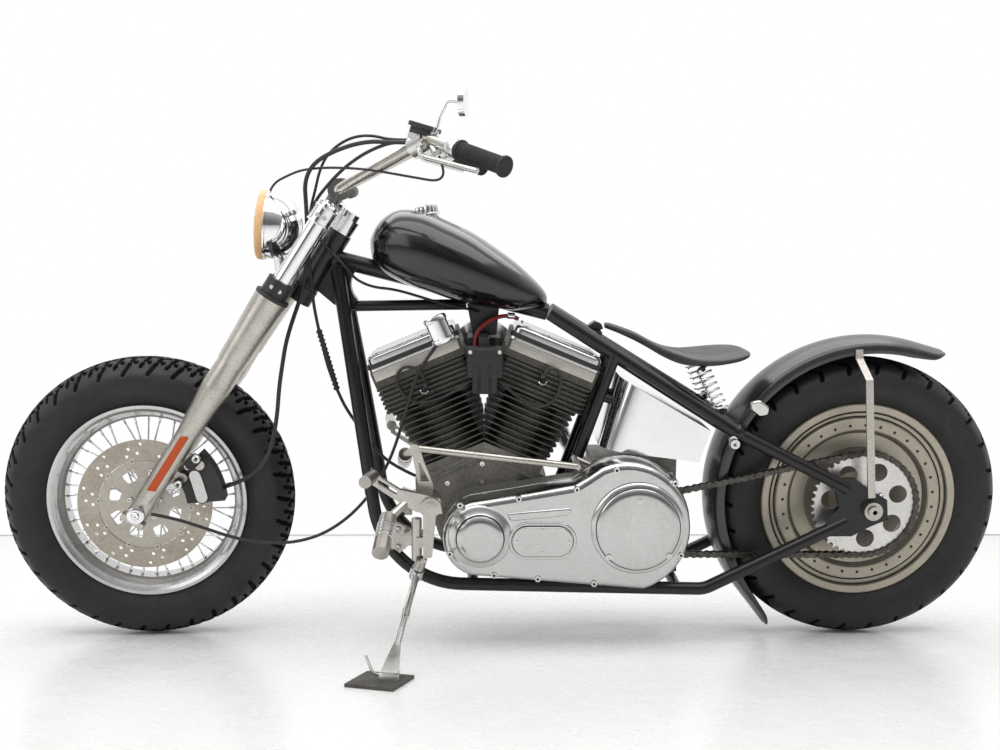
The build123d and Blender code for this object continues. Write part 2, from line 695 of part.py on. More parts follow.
def seat_posts():
    """Posts from the stays down to the middle cross member, each with a tab for the oil tank."""
    x = CROSS_X[1]
    post = rod(POST_TOP, POST_LOW, 13) - upper_stay()
    post -= rod((x, -RAIL_Y, rail_z(x)), (x, RAIL_Y, rail_z(x)), CROSS_R)
    post = post - block(300, 900, -100, 300, 0, rail_z(x)) - block(300, 900, -100, 300, 700, 900)
    middle = POST_TOP + (POST_LOW - POST_TOP) * 0.182
    tab = rod(middle, middle + Vector(-0.963, 0, -0.269) * 26.3, 9)
    return both_sides(post + tab)


def axle_plate():
    """Plate that takes both stays and the rear axle on one side."""
    outline = [(88, 70), (40, 70), (-4, 40), (-34, 22), (-38, -22), (0, -38), (40, -60), (92, -60), (96, -22),
               (70, 4)]
    outline = [(REAR_AXLE.X + x, REAR_AXLE.Z + z) for x, z in outline]
    plate = side_plate(outline, RAIL_Y - PLATE_THICK / 2, RAIL_Y + PLATE_THICK / 2)
    return plate - disc(REAR_AXLE.X, REAR_AXLE.Z, REAR_AXLE_R + 0.02, RAIL_Y - 20, RAIL_Y + 20)


def rear_axle():
    reach = RAIL_Y + PLATE_THICK / 2
    centre = (REAR_AXLE.X, REAR_AXLE.Z)
    nut = disc(*centre, 20, reach + 0.2, reach + 16)
    axle = disc(*centre, REAR_AXLE_R, -reach - 24, reach + 24) + nut + mirrored(nut)
    return axle - disc(*centre, 5, -reach - 30, reach + 30)


# ---- engine ----
def engine_case():
    """Crankcase with its shoulders under both cylinders and its feet on the frame."""
    x, z = CRANK
    body = disc(x, z, 108, -72, 56)
    shoulders = side_plate([(x - 138, z + 20), (x - 140, z + 88), (x - 134, z + 96), (x, z + 158), (x + 138, z + 96),
                            (x + 152, z + 92), (x + 150, z + 20), (x + 60, z - 60), (x - 60, z - 60)], -80, 62)
    case = body + shoulders
    for side in (1, -1):
        plane = cylinder_plane(side, BARREL_BASE - 60)
        deck = plane * Box(150, 120, 59.8, align=(Align.CENTER, Align.CENTER, Align.MIN))
        case += deck - engine_half(-side, 0)
    front_foot = block(CROSS_X[0] - 50, CROSS_X[0] + 12, -60, 50, rail_z(CROSS_X[0]) + CROSS_R + 0.3, z - 30)
    rear_foot = block(CROSS_X[1] - 8, CROSS_X[1] + 80, -40, 40, rail_z(CROSS_X[1]) + CROSS_R + 0.3, z - 30)
    return case + front_foot + rear_foot


def engine_half(side, gap):
    """Space before (side 1) or behind (side -1) the plane between the cylinders, up to a gap past it."""
    x, z = CRANK
    if side > 0:
        return block(x - gap, x + 300, -120, 120, z, z + 500)
    return block(x - 300, x + gap, -120, 120, z, z + 500)


def finned_cylinder(side):
    """Barrel and head with their cooling fins."""
    base = (Align.CENTER, Align.CENTER, Align.MIN)
    core = cylinder_plane(side, BARREL_BASE) * Cylinder(BARREL_CORE_R, HEAD_BASE - BARREL_BASE, align=base)
    head = cylinder_plane(side, HEAD_BASE) * Box(
        2 * HEAD_HALF_LENGTH - 26, 2 * HEAD_HALF_WIDTH - 22, HEAD_TOP - HEAD_BASE, align=base)
    top = cylinder_plane(side, HEAD_TOP - 8) * Box(
        2 * HEAD_HALF_LENGTH - 6, 2 * HEAD_HALF_WIDTH - 8, COVER_BASE - HEAD_TOP + 8, align=base)
    fins = []
    pitch = (HEAD_BASE - BARREL_BASE) / BARREL_FINS
    for index in range(BARREL_FINS):
        share = index / (BARREL_FINS - 1)
        outline = RectangleRounded(168 + 28 * share, 140 + 16 * share, 34)
        plane = cylinder_plane(side, BARREL_BASE + pitch * (index + 0.5))
        fins.append(extrude(plane * outline, amount=FIN_THICK))
    head_pitch = (HEAD_TOP - HEAD_BASE - 8) / HEAD_FINS
    for index in range(HEAD_FINS):
        outline = RectangleRounded(2 * HEAD_HALF_LENGTH, 2 * HEAD_HALF_WIDTH, 18)
        plane = cylinder_plane(side, HEAD_BASE + head_pitch * (index + 0.35))
        fins.append(extrude(plane * outline, amount=FIN_THICK + 0.6))
    return core.fuse(head, top, *fins) - engine_half(-side, 0.4)


def rocker_box(side):
    """Cover stack on a head: gasket band, cover and its cap."""
    band = cylinder_plane(side, COVER_BASE) * extrude(
        RectangleRounded(2 * HEAD_HALF_LENGTH, 2 * BAND_HALF_WIDTH, 20), amount=BAND_TOP - COVER_BASE)
    cover = cylinder_plane(side, BAND_TOP) * extrude(
        RectangleRounded(2 * HEAD_HALF_LENGTH - 10, 2 * BAND_HALF_WIDTH - 8, 22), amount=COVER_TOP - BAND_TOP - 6)
    cap = cylinder_plane(side, COVER_TOP - 6) * extrude(
        RectangleRounded(2 * HEAD_HALF_LENGTH - 44, 2 * BAND_HALF_WIDTH - 40, 20), amount=6)
    return band + cover + cap


def rocker_boxes():
    """Both covers, and the small breather canister held against the front one."""
    canister = cylinder_plane(1, BAND_TOP - 8) * Pos(-74, BAND_HALF_WIDTH + SEAT_GAP + 15, 0) * Box(
        46, 30, 50, align=(Align.CENTER, Align.CENTER, Align.MIN))
    return Compound(children=[rocker_box(1), rocker_box(-1), canister])


def timing_cover():
    """Right side gear cover with its tappet blocks and pushrod tubes."""
    x, z = CRANK
    cover = side_plate([(x - 120, z - 20), (x - 110, z + 90), (x + 110, z + 90), (x + 120, z - 20), (x + 60, z - 70),
                        (x - 60, z - 70)], -116, -80.2)
    cover += disc(x + 10, z, 62, -128, -100)
    angle = radians(CYLINDER_ANGLE)
    for side in (1, -1):
        for offset in (-18, 26):
            foot = (x + side * (30 + offset + 20), -98, z + 80)
            top_plane = cylinder_plane(side, HEAD_BASE - 4)
            top = top_plane.from_local_coords((side * (offset - 6), -96, 0))
            cover += rod(foot, top, 10)
    return cover


def coil_cover():
    """Black box held between the cylinders on the left."""
    box = block(812, 880, 96, 136, 578, 676)
    arm = block(836, 858, 4 + SEAT_GAP, 100, 664, 696) - block(830, 864, 14, 90, 600, 686)
    return box + arm


def air_cleaner():
    """Carburettor on the right between the cylinders, with its round filter."""
    intake = rod((846, -20, 632), (846, -92, 632), 19)
    body = block(808, 884, -138, -90, 592, 672)
    filter_drum = disc(846, 632, 78, -190, -136)
    angle = radians(CYLINDER_ANGLE)
    for side in (1, -1):
        reach = Vector(side * cos(angle), 0, -sin(angle)) * INTAKE_REACH
        intake += rod((846, -62, 632), Vector(846, -62, 632) + reach, 11)
    return intake + body + filter_drum


PRIMARY_IN, PRIMARY_OUT = 62.5, 200.0


def primary_outline():
    return Curve() + [
        ThreePointArc((876, 196), (933, 290), (877, 357)),
        Line((877, 357), (655, 395)),
        Line((655, 395), (600, 432)),
        ThreePointArc((600, 432), (455, 410), (409, 318)),
        ThreePointArc((409, 318), (430, 221), (504, 165)),
        Line((504, 165), (876, 196)),
    ]


def primary_cover():
    body = side_plate(primary_outline(), PRIMARY_IN + 60, PRIMARY_OUT)
    body += disc(855, 283, 62, PRIMARY_OUT - 2, 224)
    inspection = SlotOverall(133, 70)
    plane = Plane(origin=(723, PRIMARY_OUT - 2, 275), x_dir=(1, 0, 0), z_dir=(0, 1, 0))
    body += extrude(plane * inspection, amount=9)
    body += disc(522, 303, 93, PRIMARY_OUT - 2, 218)
    return body


def primary_inner():
    """Inner half of the primary case, set in from the polished cover."""
    outer = side_plate(primary_outline(), PRIMARY_IN, PRIMARY_IN + 59.8)
    sprocket_room = block(300, 640, PRIMARY_IN - 5, 112, 100, 460)
    post_room = block(630, 775, PRIMARY_IN - 5, 80, 100, 460)
    return outer - sprocket_room - post_room


def gearbox():
    body = block(418, 604, -96, 62, 214, 418)
    cover = disc(500, 310, 70, -118, -96)
    feet = block(CROSS_X[2] - CROSS_R, CROSS_X[2] + CROSS_R, -50, 50, rail_z(CROSS_X[2]) + CROSS_R + 0.3, 222)
    tooth_r = CHAIN_FRONT_R - CHAIN_HALF_HEIGHT - SEAT_GAP
    output = disc(*FRONT_SPROCKET, 30, 60, CHAIN_Y + 8) + disc(*FRONT_SPROCKET, tooth_r, CHAIN_Y - 4, CHAIN_Y + 4)
    return body + cover + feet + output


# ---- tanks ----
TANK_SECTIONS = [  # x, top z, bottom z, half width
    (1094, 905, 870, 26),
    (1080, 932, 840, 66),
    (1040, 962, 812, 100),
    (966, 956, 784, 124),
    (870, 914, 757, 122),
    (780, 853, 744, 92),
    (722, 799, 752, 46),
    (709, 778, 762, 16),
]


def fuel_tank():
    sections = []
    for x, top, low, half in TANK_SECTIONS:
        plane = Plane(origin=(x, 0, (top + low) / 2), x_dir=(0, 1, 0), z_dir=(1, 0, 0))
        sections.append(plane * Ellipse(half, (top - low) / 2))
    tank = loft(sections, ruled=True)
    wide = SPINE_R + SEAT_GAP
    tunnel = rod(SPINE_FRONT, SPINE_END, wide)
    slot = side_plate([(1240, spine_z(1240)), (680, spine_z(680)), (680, 500), (1240, 500)], -wide, wide)
    return tank - tunnel - slot


def fuel_cap():
    return rod((972, 0, 952), (976, 0, 972), 27) - fuel_tank()


def oil_tank():
    """Chromed oil tank under the seat, its round front corners parallel to the posts."""
    front_low, front_top = (594, 455), (551, 609)
    rise = Vector(front_top[0] - front_low[0], 0, front_top[1] - front_low[1])
    plane = Plane(origin=(front_low[0], 0, front_low[1]), x_dir=(rise.Z, 0, -rise.X), z_dir=rise)
    column = extrude(plane * Pos(-160, 0) * RectangleRounded(320, 2 * OIL_TANK_HALF, 56), amount=170, both=True)
    fender_front = FENDER_CENTRE[0] + REAR_TYRE_R + FENDER_GAP
    outline = [(620, 649), (620, 458), (fender_front + 38, 427), (fender_front + 14, 496)]
    return column & side_plate(outline, -OIL_TANK_HALF - 10, OIL_TANK_HALF + 10)


# ---- seat ----
def seat():
    """Thin solo saddle: a bent slab cut to its plan."""
    side = [(575, 718), (551, 713), (509, 697), (462, 673), (412, 656), (375, 652), (333, 654), (292, 659),
            (266, 661), (257, 656), (268, 648), (298, 641), (346, 633), (380, 630), (406, 631), (430, 637),
            (471, 658), (516, 681), (560, 701), (576, 706)]
    slab = side_plate(side, -145, 145)
    plan = [(580, 20), (560, 26), (500, 30), (450, 46), (412, 80), (380, 112), (345, 127), (305, 121), (272, 92),
            (256, 45)]
    plan = plan + [(x, -y) for x, y in reversed(plan)]
    column = extrude(make_face(Polyline(*plan, close=True)), amount=1000)
    return slab & column


SPRING_Y = 88.0
SPRING_FOOT_X = 327.0


def seat_springs():
    spring = rod((SPRING_FOOT_X, SPRING_Y + 5, 532), (374, SPRING_Y, 634), 17.5)
    return both_sides(spring - seat() - upper_stay())


def seat_pivot():
    """Hinge bracket under the seat's nose, bridging the two stays."""
    bridge = block(588, 626, -46, 46, 694, 702)
    lug = side_plate([(618, 700), (592, 700), (582, 706), (586, 716), (600, 722), (612, 714)], -14, 14)
    return (bridge + lug) - seat() - upper_stay() - mirrored(upper_stay())


# ---- rear fender ----
FENDER_CENTRE = (REAR_AXLE.X - 20, REAR_AXLE.Z + 8)


def rear_fender():
    """Round guard over the tyre, with straight ends that leave its circle."""
    crest = REAR_TYRE_R + FENDER_GAP
    edge = crest - 16
    lip = edge - FENDER_LIP
    half, skin = FENDER_HALF, FENDER_THICK
    section = Curve() + [
        ThreePointArc((edge, -half), (crest, 0), (edge, half)), Line((edge, half), (lip, half)),
        Line((lip, half), (lip, half - skin)), Line((lip, half - skin), (edge - skin, half - skin)),
        ThreePointArc((edge - skin, half - skin), (crest - skin, 0), (edge - skin, skin - half)),
        Line((edge - skin, skin - half), (lip, skin - half)), Line((lip, skin - half), (lip, -half)),
        Line((lip, -half), (edge, -half)),
    ]
    face = make_face(section)
    # a turn about +Y runs from X towards -Z, so the arc is laid out back from its high end
    guard = revolve(Rot(Y=-FENDER_TO) * face, axis=Axis.Y, revolution_arc=FENDER_TO - FENDER_FROM)
    for angle_deg, length in ((FENDER_TO, FENDER_TAIL), (FENDER_FROM, -FENDER_TOE)):
        angle = radians(angle_deg)
        end = Rot(Y=-angle_deg) * face
        run = Vector(-sin(angle), 0, cos(angle)) * (1 if length > 0 else -1)
        guard += extrude(end, amount=abs(length), dir=run)
    return Pos(FENDER_CENTRE[0], 0, FENDER_CENTRE[1]) * guard


STRUT_LEAN = 4.4          # degrees forward of upright


def fender_struts():
    """Flat bars from the axle plates up to the fender's edges."""
    outer = RAIL_Y + PLATE_THICK / 2 + 0.2
    edge = FENDER_HALF + 0.2
    thick = 5
    top = REAR_TYRE_R + 3
    line = [(outer, 28), (outer, top - 38), (edge, top), (edge, top + 22), (edge + thick, top + 22),
            (edge + thick, top + 2), (outer + thick, top - 36), (outer + thick, 28)]
    angle = radians(STRUT_LEAN)
    plane = Plane(origin=REAR_AXLE, x_dir=(0, 1, 0), z_dir=(cos(angle), 0, -sin(angle)))
    face = plane * make_face(Polyline(*line, close=True))
    return both_sides(extrude(face, amount=8, both=True))


def rear_caliper():
    """Brake caliper over the rear disc, on a bracket round the right end of the axle."""
    x, z = centre = (REAR_AXLE.X, REAR_AXLE.Z)
    outer = -RAIL_Y + TUBE_R + 0.6
    points = [polar(centre, 90, -16), polar(centre, 176, -13), polar(centre, 176, 17), polar(centre, 90, 20)]
    body = side_plate(points, outer + 6, -CHAIN_Y - 5)
    bracket = side_plate([polar(centre, 150, -14), polar(centre, 150, 18), (x, z + 26), (x, z - 26)],
                         outer, outer + 6.1)
    bracket += disc(*centre, 26, -RAIL_Y + PLATE_THICK / 2 + 0.2, outer + 6.1)
    return body + bracket - disc(*centre, REAR_AXLE_R + 0.02, -140, -80)


# ---- foot controls: places are given from the rails' noses ----
DRUM = (NOSE_X - 105.0, 367.0)
SHIFT_EYE = (NOSE_X - 71.0, 482.0)
SHIFT_Y = 214.0


def nose_outline(corners):
    """Side-view corners given from the rails' noses, in the machine's frame."""
    return [(NOSE_X + x, z) for x, z in corners]


def toe_lever():
    """Slotted lever from the drum forward to the toe peg."""
    lever = side_plate(nose_outline([(17, 447), (-4, 427), (-41, 403), (-92, 392), (-124, 384), (-128, 352), (-96, 353),
                                     (-75, 356), (-41, 376), (-12, 395), (14, 413)]), 250, 263)
    lever -= side_plate(nose_outline([(2, 424), (-36, 401), (-38, 395), (-34, 393), (3, 415)]), 249, 264)
    return lever + rod((NOSE_X + 12, 256, 430), (NOSE_X + 22, 332, 436), 12.5)


def peg():
    root = Vector(NOSE_X - 19, 290, 348)
    arm = rod((NOSE_X - 52, 256, 372), root, 9)
    return arm + rod(root + (root - PEG_TIP).normalized() * 6, PEG_TIP, PEG_R)


def foot_control():
    """One side's forward control: plate on the frame, hinge column, drum, peg and toe lever."""
    inner = RAIL_Y + TUBE_R + 1
    body = side_plate(nose_outline([(-22, 301), (-55, 288), (-59, 256), (-33, 233), (-13, 250)]), inner, inner + 12)
    body += block(NOSE_X - 45, NOSE_X - 14, RAIL_Y - 2, inner + 1, 238, 262)
    body += block(NOSE_X - 84, NOSE_X - 44, inner + 6, STAND_PIVOT.Y, 262, 284)
    body += rod((STAND_PIVOT.X, STAND_PIVOT.Y, 232), (STAND_PIVOT.X, STAND_PIVOT.Y, 322), 11)
    body += block(NOSE_X - 104, NOSE_X - 72, STAND_PIVOT.Y, 206, 262, 284)
    body += side_plate(nose_outline([(-86, 337), (-86, 237), (-105, 241), (-116, 360), (-94, 360)]), 198, 206)
    body += disc(*DRUM, 20, 198, 266)
    return body + toe_lever() + peg() - lower_rail()


def foot_controls():
    left = foot_control()
    return Compound(children=[left + stand_bracket(), mirrored(left)])


def shift_linkage():
    """Upright arm on the left drum and the rod back to the gearbox."""
    low, high = SHIFT_Y, SHIFT_Y + 7
    arm = side_plate(nose_outline([(-81, 480), (-62, 480), (-72, 430), (-76, 404), (-78, 380), (-108, 380),
                                   (-108, 404), (-89, 452)]), low, high)
    arm += disc(*SHIFT_EYE, 10, low - 2, high + 5)
    arm -= side_plate(nose_outline([(-78, 456), (-82, 410), (-100, 410)]), low - 1, high + 1)
    arm -= disc(*DRUM, 20 + SEAT_GAP, low - 10, high + 10)
    rear = Vector(648, 166, 428)
    link = rod((SHIFT_EYE[0], high + 9, SHIFT_EYE[1]), rear, 7) + disc(*SHIFT_EYE, 10, high + 4, high + 18)
    link += rod(rear + Vector(0, 6, 0), (rear.X, 80, rear.Z), 6)
    link += rod((rear.X + 2, 84, rear.Z + 1), (594, 84, 403), 6) + rod((597, 88, 404), (597, 62 + SEAT_GAP, 404), 6)
    return arm + link


# ---- side stand ----
def stand_foot():
    """Where the leg meets the pad, in the upright frame."""
    x, y = PAD_CENTRE
    z = PAD_THICK + 10
    return Vector(x + STAND_FOOT_X, y * cos(lean) - z * sin(lean), y * sin(lean) + z * cos(lean))


def stand_axis():
    """Fold axis, and the angle from the leg's set place to its folded one."""
    down = stand_foot() - STAND_PIVOT
    folded = Vector(STAND_FOLD)
    return down.cross(folded).normalized(), down.get_angle(folded)


def stand_leg():
    """Leg with its collar, the flat flare above the foot, its sole and the wire tang."""
    axis, _ = stand_axis()
    foot = stand_foot()
    reach = foot - STAND_PIVOT
    leg = rod(STAND_PIVOT, STAND_PIVOT + reach * 0.42, 7.5)
    leg += rod(STAND_PIVOT + reach * 0.40, STAND_PIVOT + reach * 0.47, 9)
    leg += rod(STAND_PIVOT + reach * 0.46, STAND_PIVOT + reach * 0.76, 6.5)
    narrow = Plane(origin=STAND_PIVOT + reach * 0.72, x_dir=(1, 0, 0), z_dir=reach) * Rectangle(13, 10)
    wide = Plane(origin=foot, x_dir=(1, 0, 0), z_dir=reach) * Rectangle(36, 10)
    leg += loft([narrow, wide], ruled=True)
    leg += rod(STAND_PIVOT - axis * 12, STAND_PIVOT + axis * 12, 15)
    floor_foot = (PAD_CENTRE[0] + STAND_FOOT_X, PAD_CENTRE[1], PAD_THICK)
    leg += Rot(X=LEAN_DEG) * Pos(*floor_foot) * Box(38, 40, 13, align=(Align.CENTER, Align.CENTER, Align.MIN))
    leg += pipe([foot + Vector(4, 6, 0), foot + Vector(30, 16, 8), foot + Vector(44, 16, 44)], 14, 3)
    return leg - rod(STAND_PIVOT - axis * 30, STAND_PIVOT + axis * 30, STAND_PIN_R + AXLE_FIT)


def stand_pad():
    return Rot(X=LEAN_DEG) * Pos(*PAD_CENTRE, 0) * Rot(Z=PAD_TURN) * Box(
        PAD_SIDE, PAD_SIDE, PAD_THICK, align=(Align.CENTER, Align.CENTER, Align.MIN))


def stand_bracket():
    """Pin and knuckle that carry the stand, under the left control's hinge column."""
    axis, _ = stand_axis()
    pin = rod(STAND_PIVOT - axis * 18, STAND_PIVOT + axis * 36, STAND_PIN_R)
    knuckle = rod(STAND_PIVOT + axis * 13, STAND_PIVOT + axis * 40, 12)
    washer = rod(STAND_PIVOT - axis * 18, STAND_PIVOT - axis * 13, 11)
    return pin + knuckle + washer


# ---- cables: each list is the cable's own route ----
def cable(points, radius):
    """Cable along straight runs joined by arcs as large as its runs allow."""
    bends = []
    for before, at, after in zip(points, points[1:], points[2:]):
        turn = radians((at - before).get_angle(after - at))
        run = min((at - before).length, (after - at).length)
        bends.append(0.45 * run / tan(turn / 2))
    return pipe(points, bends, radius)


BRAKE_HOSE = [            # along the fork, y, ahead of it
    (975, 225, -71), (952, 200, -34), (937, 178, -7), (911, 152, 22), (880, 130, 47), (849, 112, 66), (818, 97, 74),
    (786, 86, 67), (757, 81, 47), (725, 80, 25), (690, 80, 3), (650, 81, -20), (610, 84, -38), (572, 90, -51),
    (532, 99, -60), (485, 111, -73), (440, 118, -92), (392, 121, -113), (348, 122, -136), (306, 122, -154),
    (270, 120, -165), (236, 116, -169), (205, 108, -166), (178, 98, -156), (152, 86, -143), (127, 72, -126.2),
]
THROTTLE_CABLE = [        # along the fork, y, ahead of it, from the left control to under the tank
    (983, 215, -74), (960, 194, -38), (951, 172, -9), (936, 150, 17), (914, 130, 38), (884, 110, 53), (855, 92, 59),
    (822, 78, 55), (785, 68, 43), (755, 60, 35), (728, 54, 24), (708, 49, 0), (695, 45, -34), (686, 42, -70),
    (678, 41, -100), (668, 40, -128),
]
TANK_CABLE = [(1090, 38, 797), (1048, 34, 793), (1006, 31, 782), (960, 28, 767), (915, 25, 756), (880, 19, 748),
              (858, 4, 742)]
CLUTCH_CABLE = [          # along the fork, y, ahead of it, from the left control down behind the fork
    (986, 210, -84), (966, 196, -55), (947, 180, -33), (908, 150, -6), (859, 120, 15), (804, 92, 27), (768, 78, 31),
    (734, 70, 25), (700, 65, 8), (660, 61, -17), (620, 59, -46), (575, 58, -80), (535, 58, -117), (502, 59, -150),
    (471, 61, -182), (443, 64, -221), (416, 66, -262),
]
CASE_CABLE = [(1104, 62, 468), (1076, 56, 428), (1040, 50, 398), (998.6, 44, 377)]
HUB_CABLE = [(1561, 158, 326), (1522, 146, 314), (1466, 130, 288)]
SPEED_CABLE = [(1391, 116, 256), (1340, 111, 245),
               (1283, 108, 241), (1232, 102, 248), (1189, 95, 264), (1146, 86, 292), (1108, 80.5, 330),
               (1078, 82, 374), (1056, 89, 416), (1040, 99, 456), (1026, 106, 500), (1013, 110, 545),
               (1000, 110, 590), (984, 106, 628), (964, 98, 657), (950, 93, 676.7)]
CABLE_R = 3.5


def control_cables():
    """Throttle and clutch cables, from the left control past the head to the frame's side."""
    on_fork = [steered_point(fork_point(*place)) for place in THROTTLE_CABLE]
    throttle = cable(on_fork + [Vector(*place) for place in TANK_CABLE], 3.0)
    on_fork = [steered_point(fork_point(*place)) for place in CLUTCH_CABLE]
    clutch = cable(on_fork + [Vector(*place) for place in CASE_CABLE], CABLE_R)
    control = steered(hand_control())
    return Compound(children=[throttle - control - block(800, 900, -20, 4.2, 700, 800), clutch - control])


def brake_hose():
    """Hose from the left control down to the front caliper."""
    return cable([fork_point(*place) for place in BRAKE_HOSE], 4.5) - hand_control()


def speed_cable():
    """Cable from the front hub back under the engine's nose and up to the front head."""
    return cable([steered_point(place) for place in HUB_CABLE] + [Vector(*p) for p in SPEED_CABLE], CABLE_R)


# ---- exhaust, on the right ----
def exhaust_pipes():
    """Two pipes from the ports on the heads' right sides, back along the frame."""
    port_y = -HEAD_HALF_WIDTH - SEAT_GAP
    front_port = cylinder_plane(1, (HEAD_BASE + HEAD_TOP) / 2).origin
    rear_port = cylinder_plane(-1, (HEAD_BASE + HEAD_TOP) / 2).origin
    front = pipe([(front_port.X, port_y, front_port.Z), (front_port.X, -150, front_port.Z), (905, -178, 400),
                  (800, -180, 212), (420, -180, 204)], [34, 80, 80], 22)
    rear = pipe([(rear_port.X, port_y, rear_port.Z), (rear_port.X, -150, rear_port.Z), (650, -172, 420),
                 (560, -176, 290), (400, -178, 280)], [34, 80, 80], 22)
    return Compound(children=[front, rear])


def build_nodes():
    """Every node's solid, upright."""
    rear_tyre = tyre(REAR_TYRE_R, REAR_TYRE_HALF, REAR_SHOULDER_DROP, REAR_SHOULDER_HALF, REAR_RIM_HALF,
                     REAR_AXLE)
    front_tyre = tyre(FRONT_TYRE_R, FRONT_TYRE_HALF, FRONT_SHOULDER_DROP, FRONT_SHOULDER_HALF, FRONT_RIM_HALF,
                      FRONT_AXLE)
    return {
        "frame_neck": frame_neck(),
        "frame_spine": frame_spine(),
        "down_tubes": down_tubes(),
        "frame_rails": frame_rails(),
        "frame_cross_members": frame_cross_members(),
        "frame_stays": frame_stays(),
        "seat_posts": seat_posts(),
        "axle_plates": both_sides(axle_plate()),
        "rear_axle": rear_axle(),
        "engine_case": engine_case(),
        "front_cylinder": finned_cylinder(1),
        "rear_cylinder": finned_cylinder(-1),
        "rocker_boxes": rocker_boxes(),
        "timing_cover": timing_cover(),
        "coil_cover": coil_cover(),
        "air_cleaner": air_cleaner(),
        "primary_cover": primary_cover(),
        "primary_inner": primary_inner(),
        "gearbox": gearbox(),
        "exhaust_pipes": exhaust_pipes(),
        "oil_tank": oil_tank(),
        "fuel_tank": fuel_tank(),
        "fuel_cap": fuel_cap(),
        "seat": seat(),
        "seat_springs": seat_springs(),
        "seat_pivot": seat_pivot(),
        "rear_fender": rear_fender(),
        "fender_struts": fender_struts(),
        "chain": chain(),
        "rear_caliper": rear_caliper(),
        "foot_controls": foot_controls(),
        "shift_linkage": shift_linkage(),
        "fork_clamps": steered(fork_clamps()),
        "control_cables": control_cables(),
        "speed_cable": speed_cable(),
        "fork_tubes": steered(fork_tubes()),
        "fork_sliders": steered(fork_sliders()),
        "headlamp": steered(headlamp()),
        "headlamp_lens": steered(headlamp_lens()),
        "handlebar": steered(handlebar()),
        "bar_risers": steered(bar_risers()),
        "grips": steered(grips()),
        "hand_controls": steered(both_sides(hand_control())),
        "mirror_arm": steered(mirror_arm()),
        "front_axle": steered(front_axle()),
        "front_caliper": steered(front_caliper()),
        "brake_hose": steered(brake_hose()),
        "front_tyre": steered(front_tyre),
        "front_rim": steered(front_rim()),
        "front_hub": steered(front_hub()),
        "front_disc": steered(front_disc()),
        "rear_tyre": rear_tyre,
        "rear_wheel_disc": rear_wheel(),
        "rear_sprocket": rear_sprocket(),
        "rear_brake_disc": rear_disc(),
        "stand_leg": stand_leg(),
        "stand_pad": stand_pad(),
    }


os.makedirs("parts", exist_ok=True)
nodes = build_nodes()
for name, solid in nodes.items():
    export_step(stand(solid), f"parts/{name}.step")
print("nodes", len(nodes))
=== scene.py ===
from math import atan2, cos, degrees, hypot, pi, radians, sin, sqrt, tan

import bmesh
import bpy
from mathutils import Matrix, Vector


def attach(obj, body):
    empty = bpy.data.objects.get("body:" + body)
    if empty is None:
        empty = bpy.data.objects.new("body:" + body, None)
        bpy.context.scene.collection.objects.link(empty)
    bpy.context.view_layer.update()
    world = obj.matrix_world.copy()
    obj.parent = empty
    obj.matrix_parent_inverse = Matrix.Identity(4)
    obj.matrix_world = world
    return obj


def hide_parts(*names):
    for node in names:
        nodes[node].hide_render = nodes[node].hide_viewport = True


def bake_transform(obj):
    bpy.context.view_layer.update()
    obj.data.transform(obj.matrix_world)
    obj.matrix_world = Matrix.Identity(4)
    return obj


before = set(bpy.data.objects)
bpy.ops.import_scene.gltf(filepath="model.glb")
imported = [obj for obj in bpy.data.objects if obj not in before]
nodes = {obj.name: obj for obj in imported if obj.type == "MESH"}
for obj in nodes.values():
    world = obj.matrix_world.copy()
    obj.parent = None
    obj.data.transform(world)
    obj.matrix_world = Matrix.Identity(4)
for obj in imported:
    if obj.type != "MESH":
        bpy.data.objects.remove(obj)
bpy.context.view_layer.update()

# Pieces are laid out in millimetres on the upright machine: x forward from the rear axle, y to
# the rider's left, z up. STAND leans them onto the side stand in the part's own frame, and
# STEER turns the fork's pieces with the handlebar first.
LEAN = radians(9.5)
ORIGIN_X, ORIGIN_Y = 797.0, 120.91  # the part's origin on the upright machine
RAKE = radians(32.6)
WHEELBASE = 1596.0
FRONT_AXLE = Vector((WHEELBASE, 0, 320.18))
REAR_AXLE = Vector((0, 0, 323.07))
TO_METRES = Matrix.Scale(0.001, 4)
STAND = TO_METRES @ Matrix.Translation((-ORIGIN_X, -ORIGIN_Y, 0)) @ Matrix.Rotation(-LEAN, 4, "X")


def fork_point(along, y=0.0, ahead=0.0):
    """Point up the fork from the front axle, and square to it, ahead."""
    return FRONT_AXLE + Vector((-along * sin(RAKE) + ahead * cos(RAKE), y,
                                along * cos(RAKE) + ahead * sin(RAKE)))


FORK_UP = fork_point(1) - fork_point(0)
FORK_AHEAD = Vector((cos(RAKE), 0, sin(RAKE)))
FORK_HALF = 115  # from the middle plane to each fork tube
STEER_AT = Matrix.Translation(fork_point(0, 0, -45))
STEER = STEER_AT @ Matrix.Rotation(radians(3), 4, Vector((-sin(RAKE), 0, cos(RAKE)))) @ STEER_AT.inverted()


def place(point, turned=False):
    """A point of the upright machine in the part's frame, in metres."""
    point = Vector(point)
    return STAND @ (STEER @ point if turned else point)


# ---- shader groups ----
def node_group(name, inputs, outputs):
    """Shader group with its inputs and outputs declared, and its end nodes."""
    group = bpy.data.node_groups.new(name, "ShaderNodeTree")
    for label, kind, value in inputs:
        socket = group.interface.new_socket(name=label, in_out="INPUT", socket_type=kind)
        socket.default_value = value
    for label, kind in outputs:
        group.interface.new_socket(name=label, in_out="OUTPUT", socket_type=kind)
    return group, group.nodes.new("NodeGroupInput"), group.nodes.new("NodeGroupOutput")


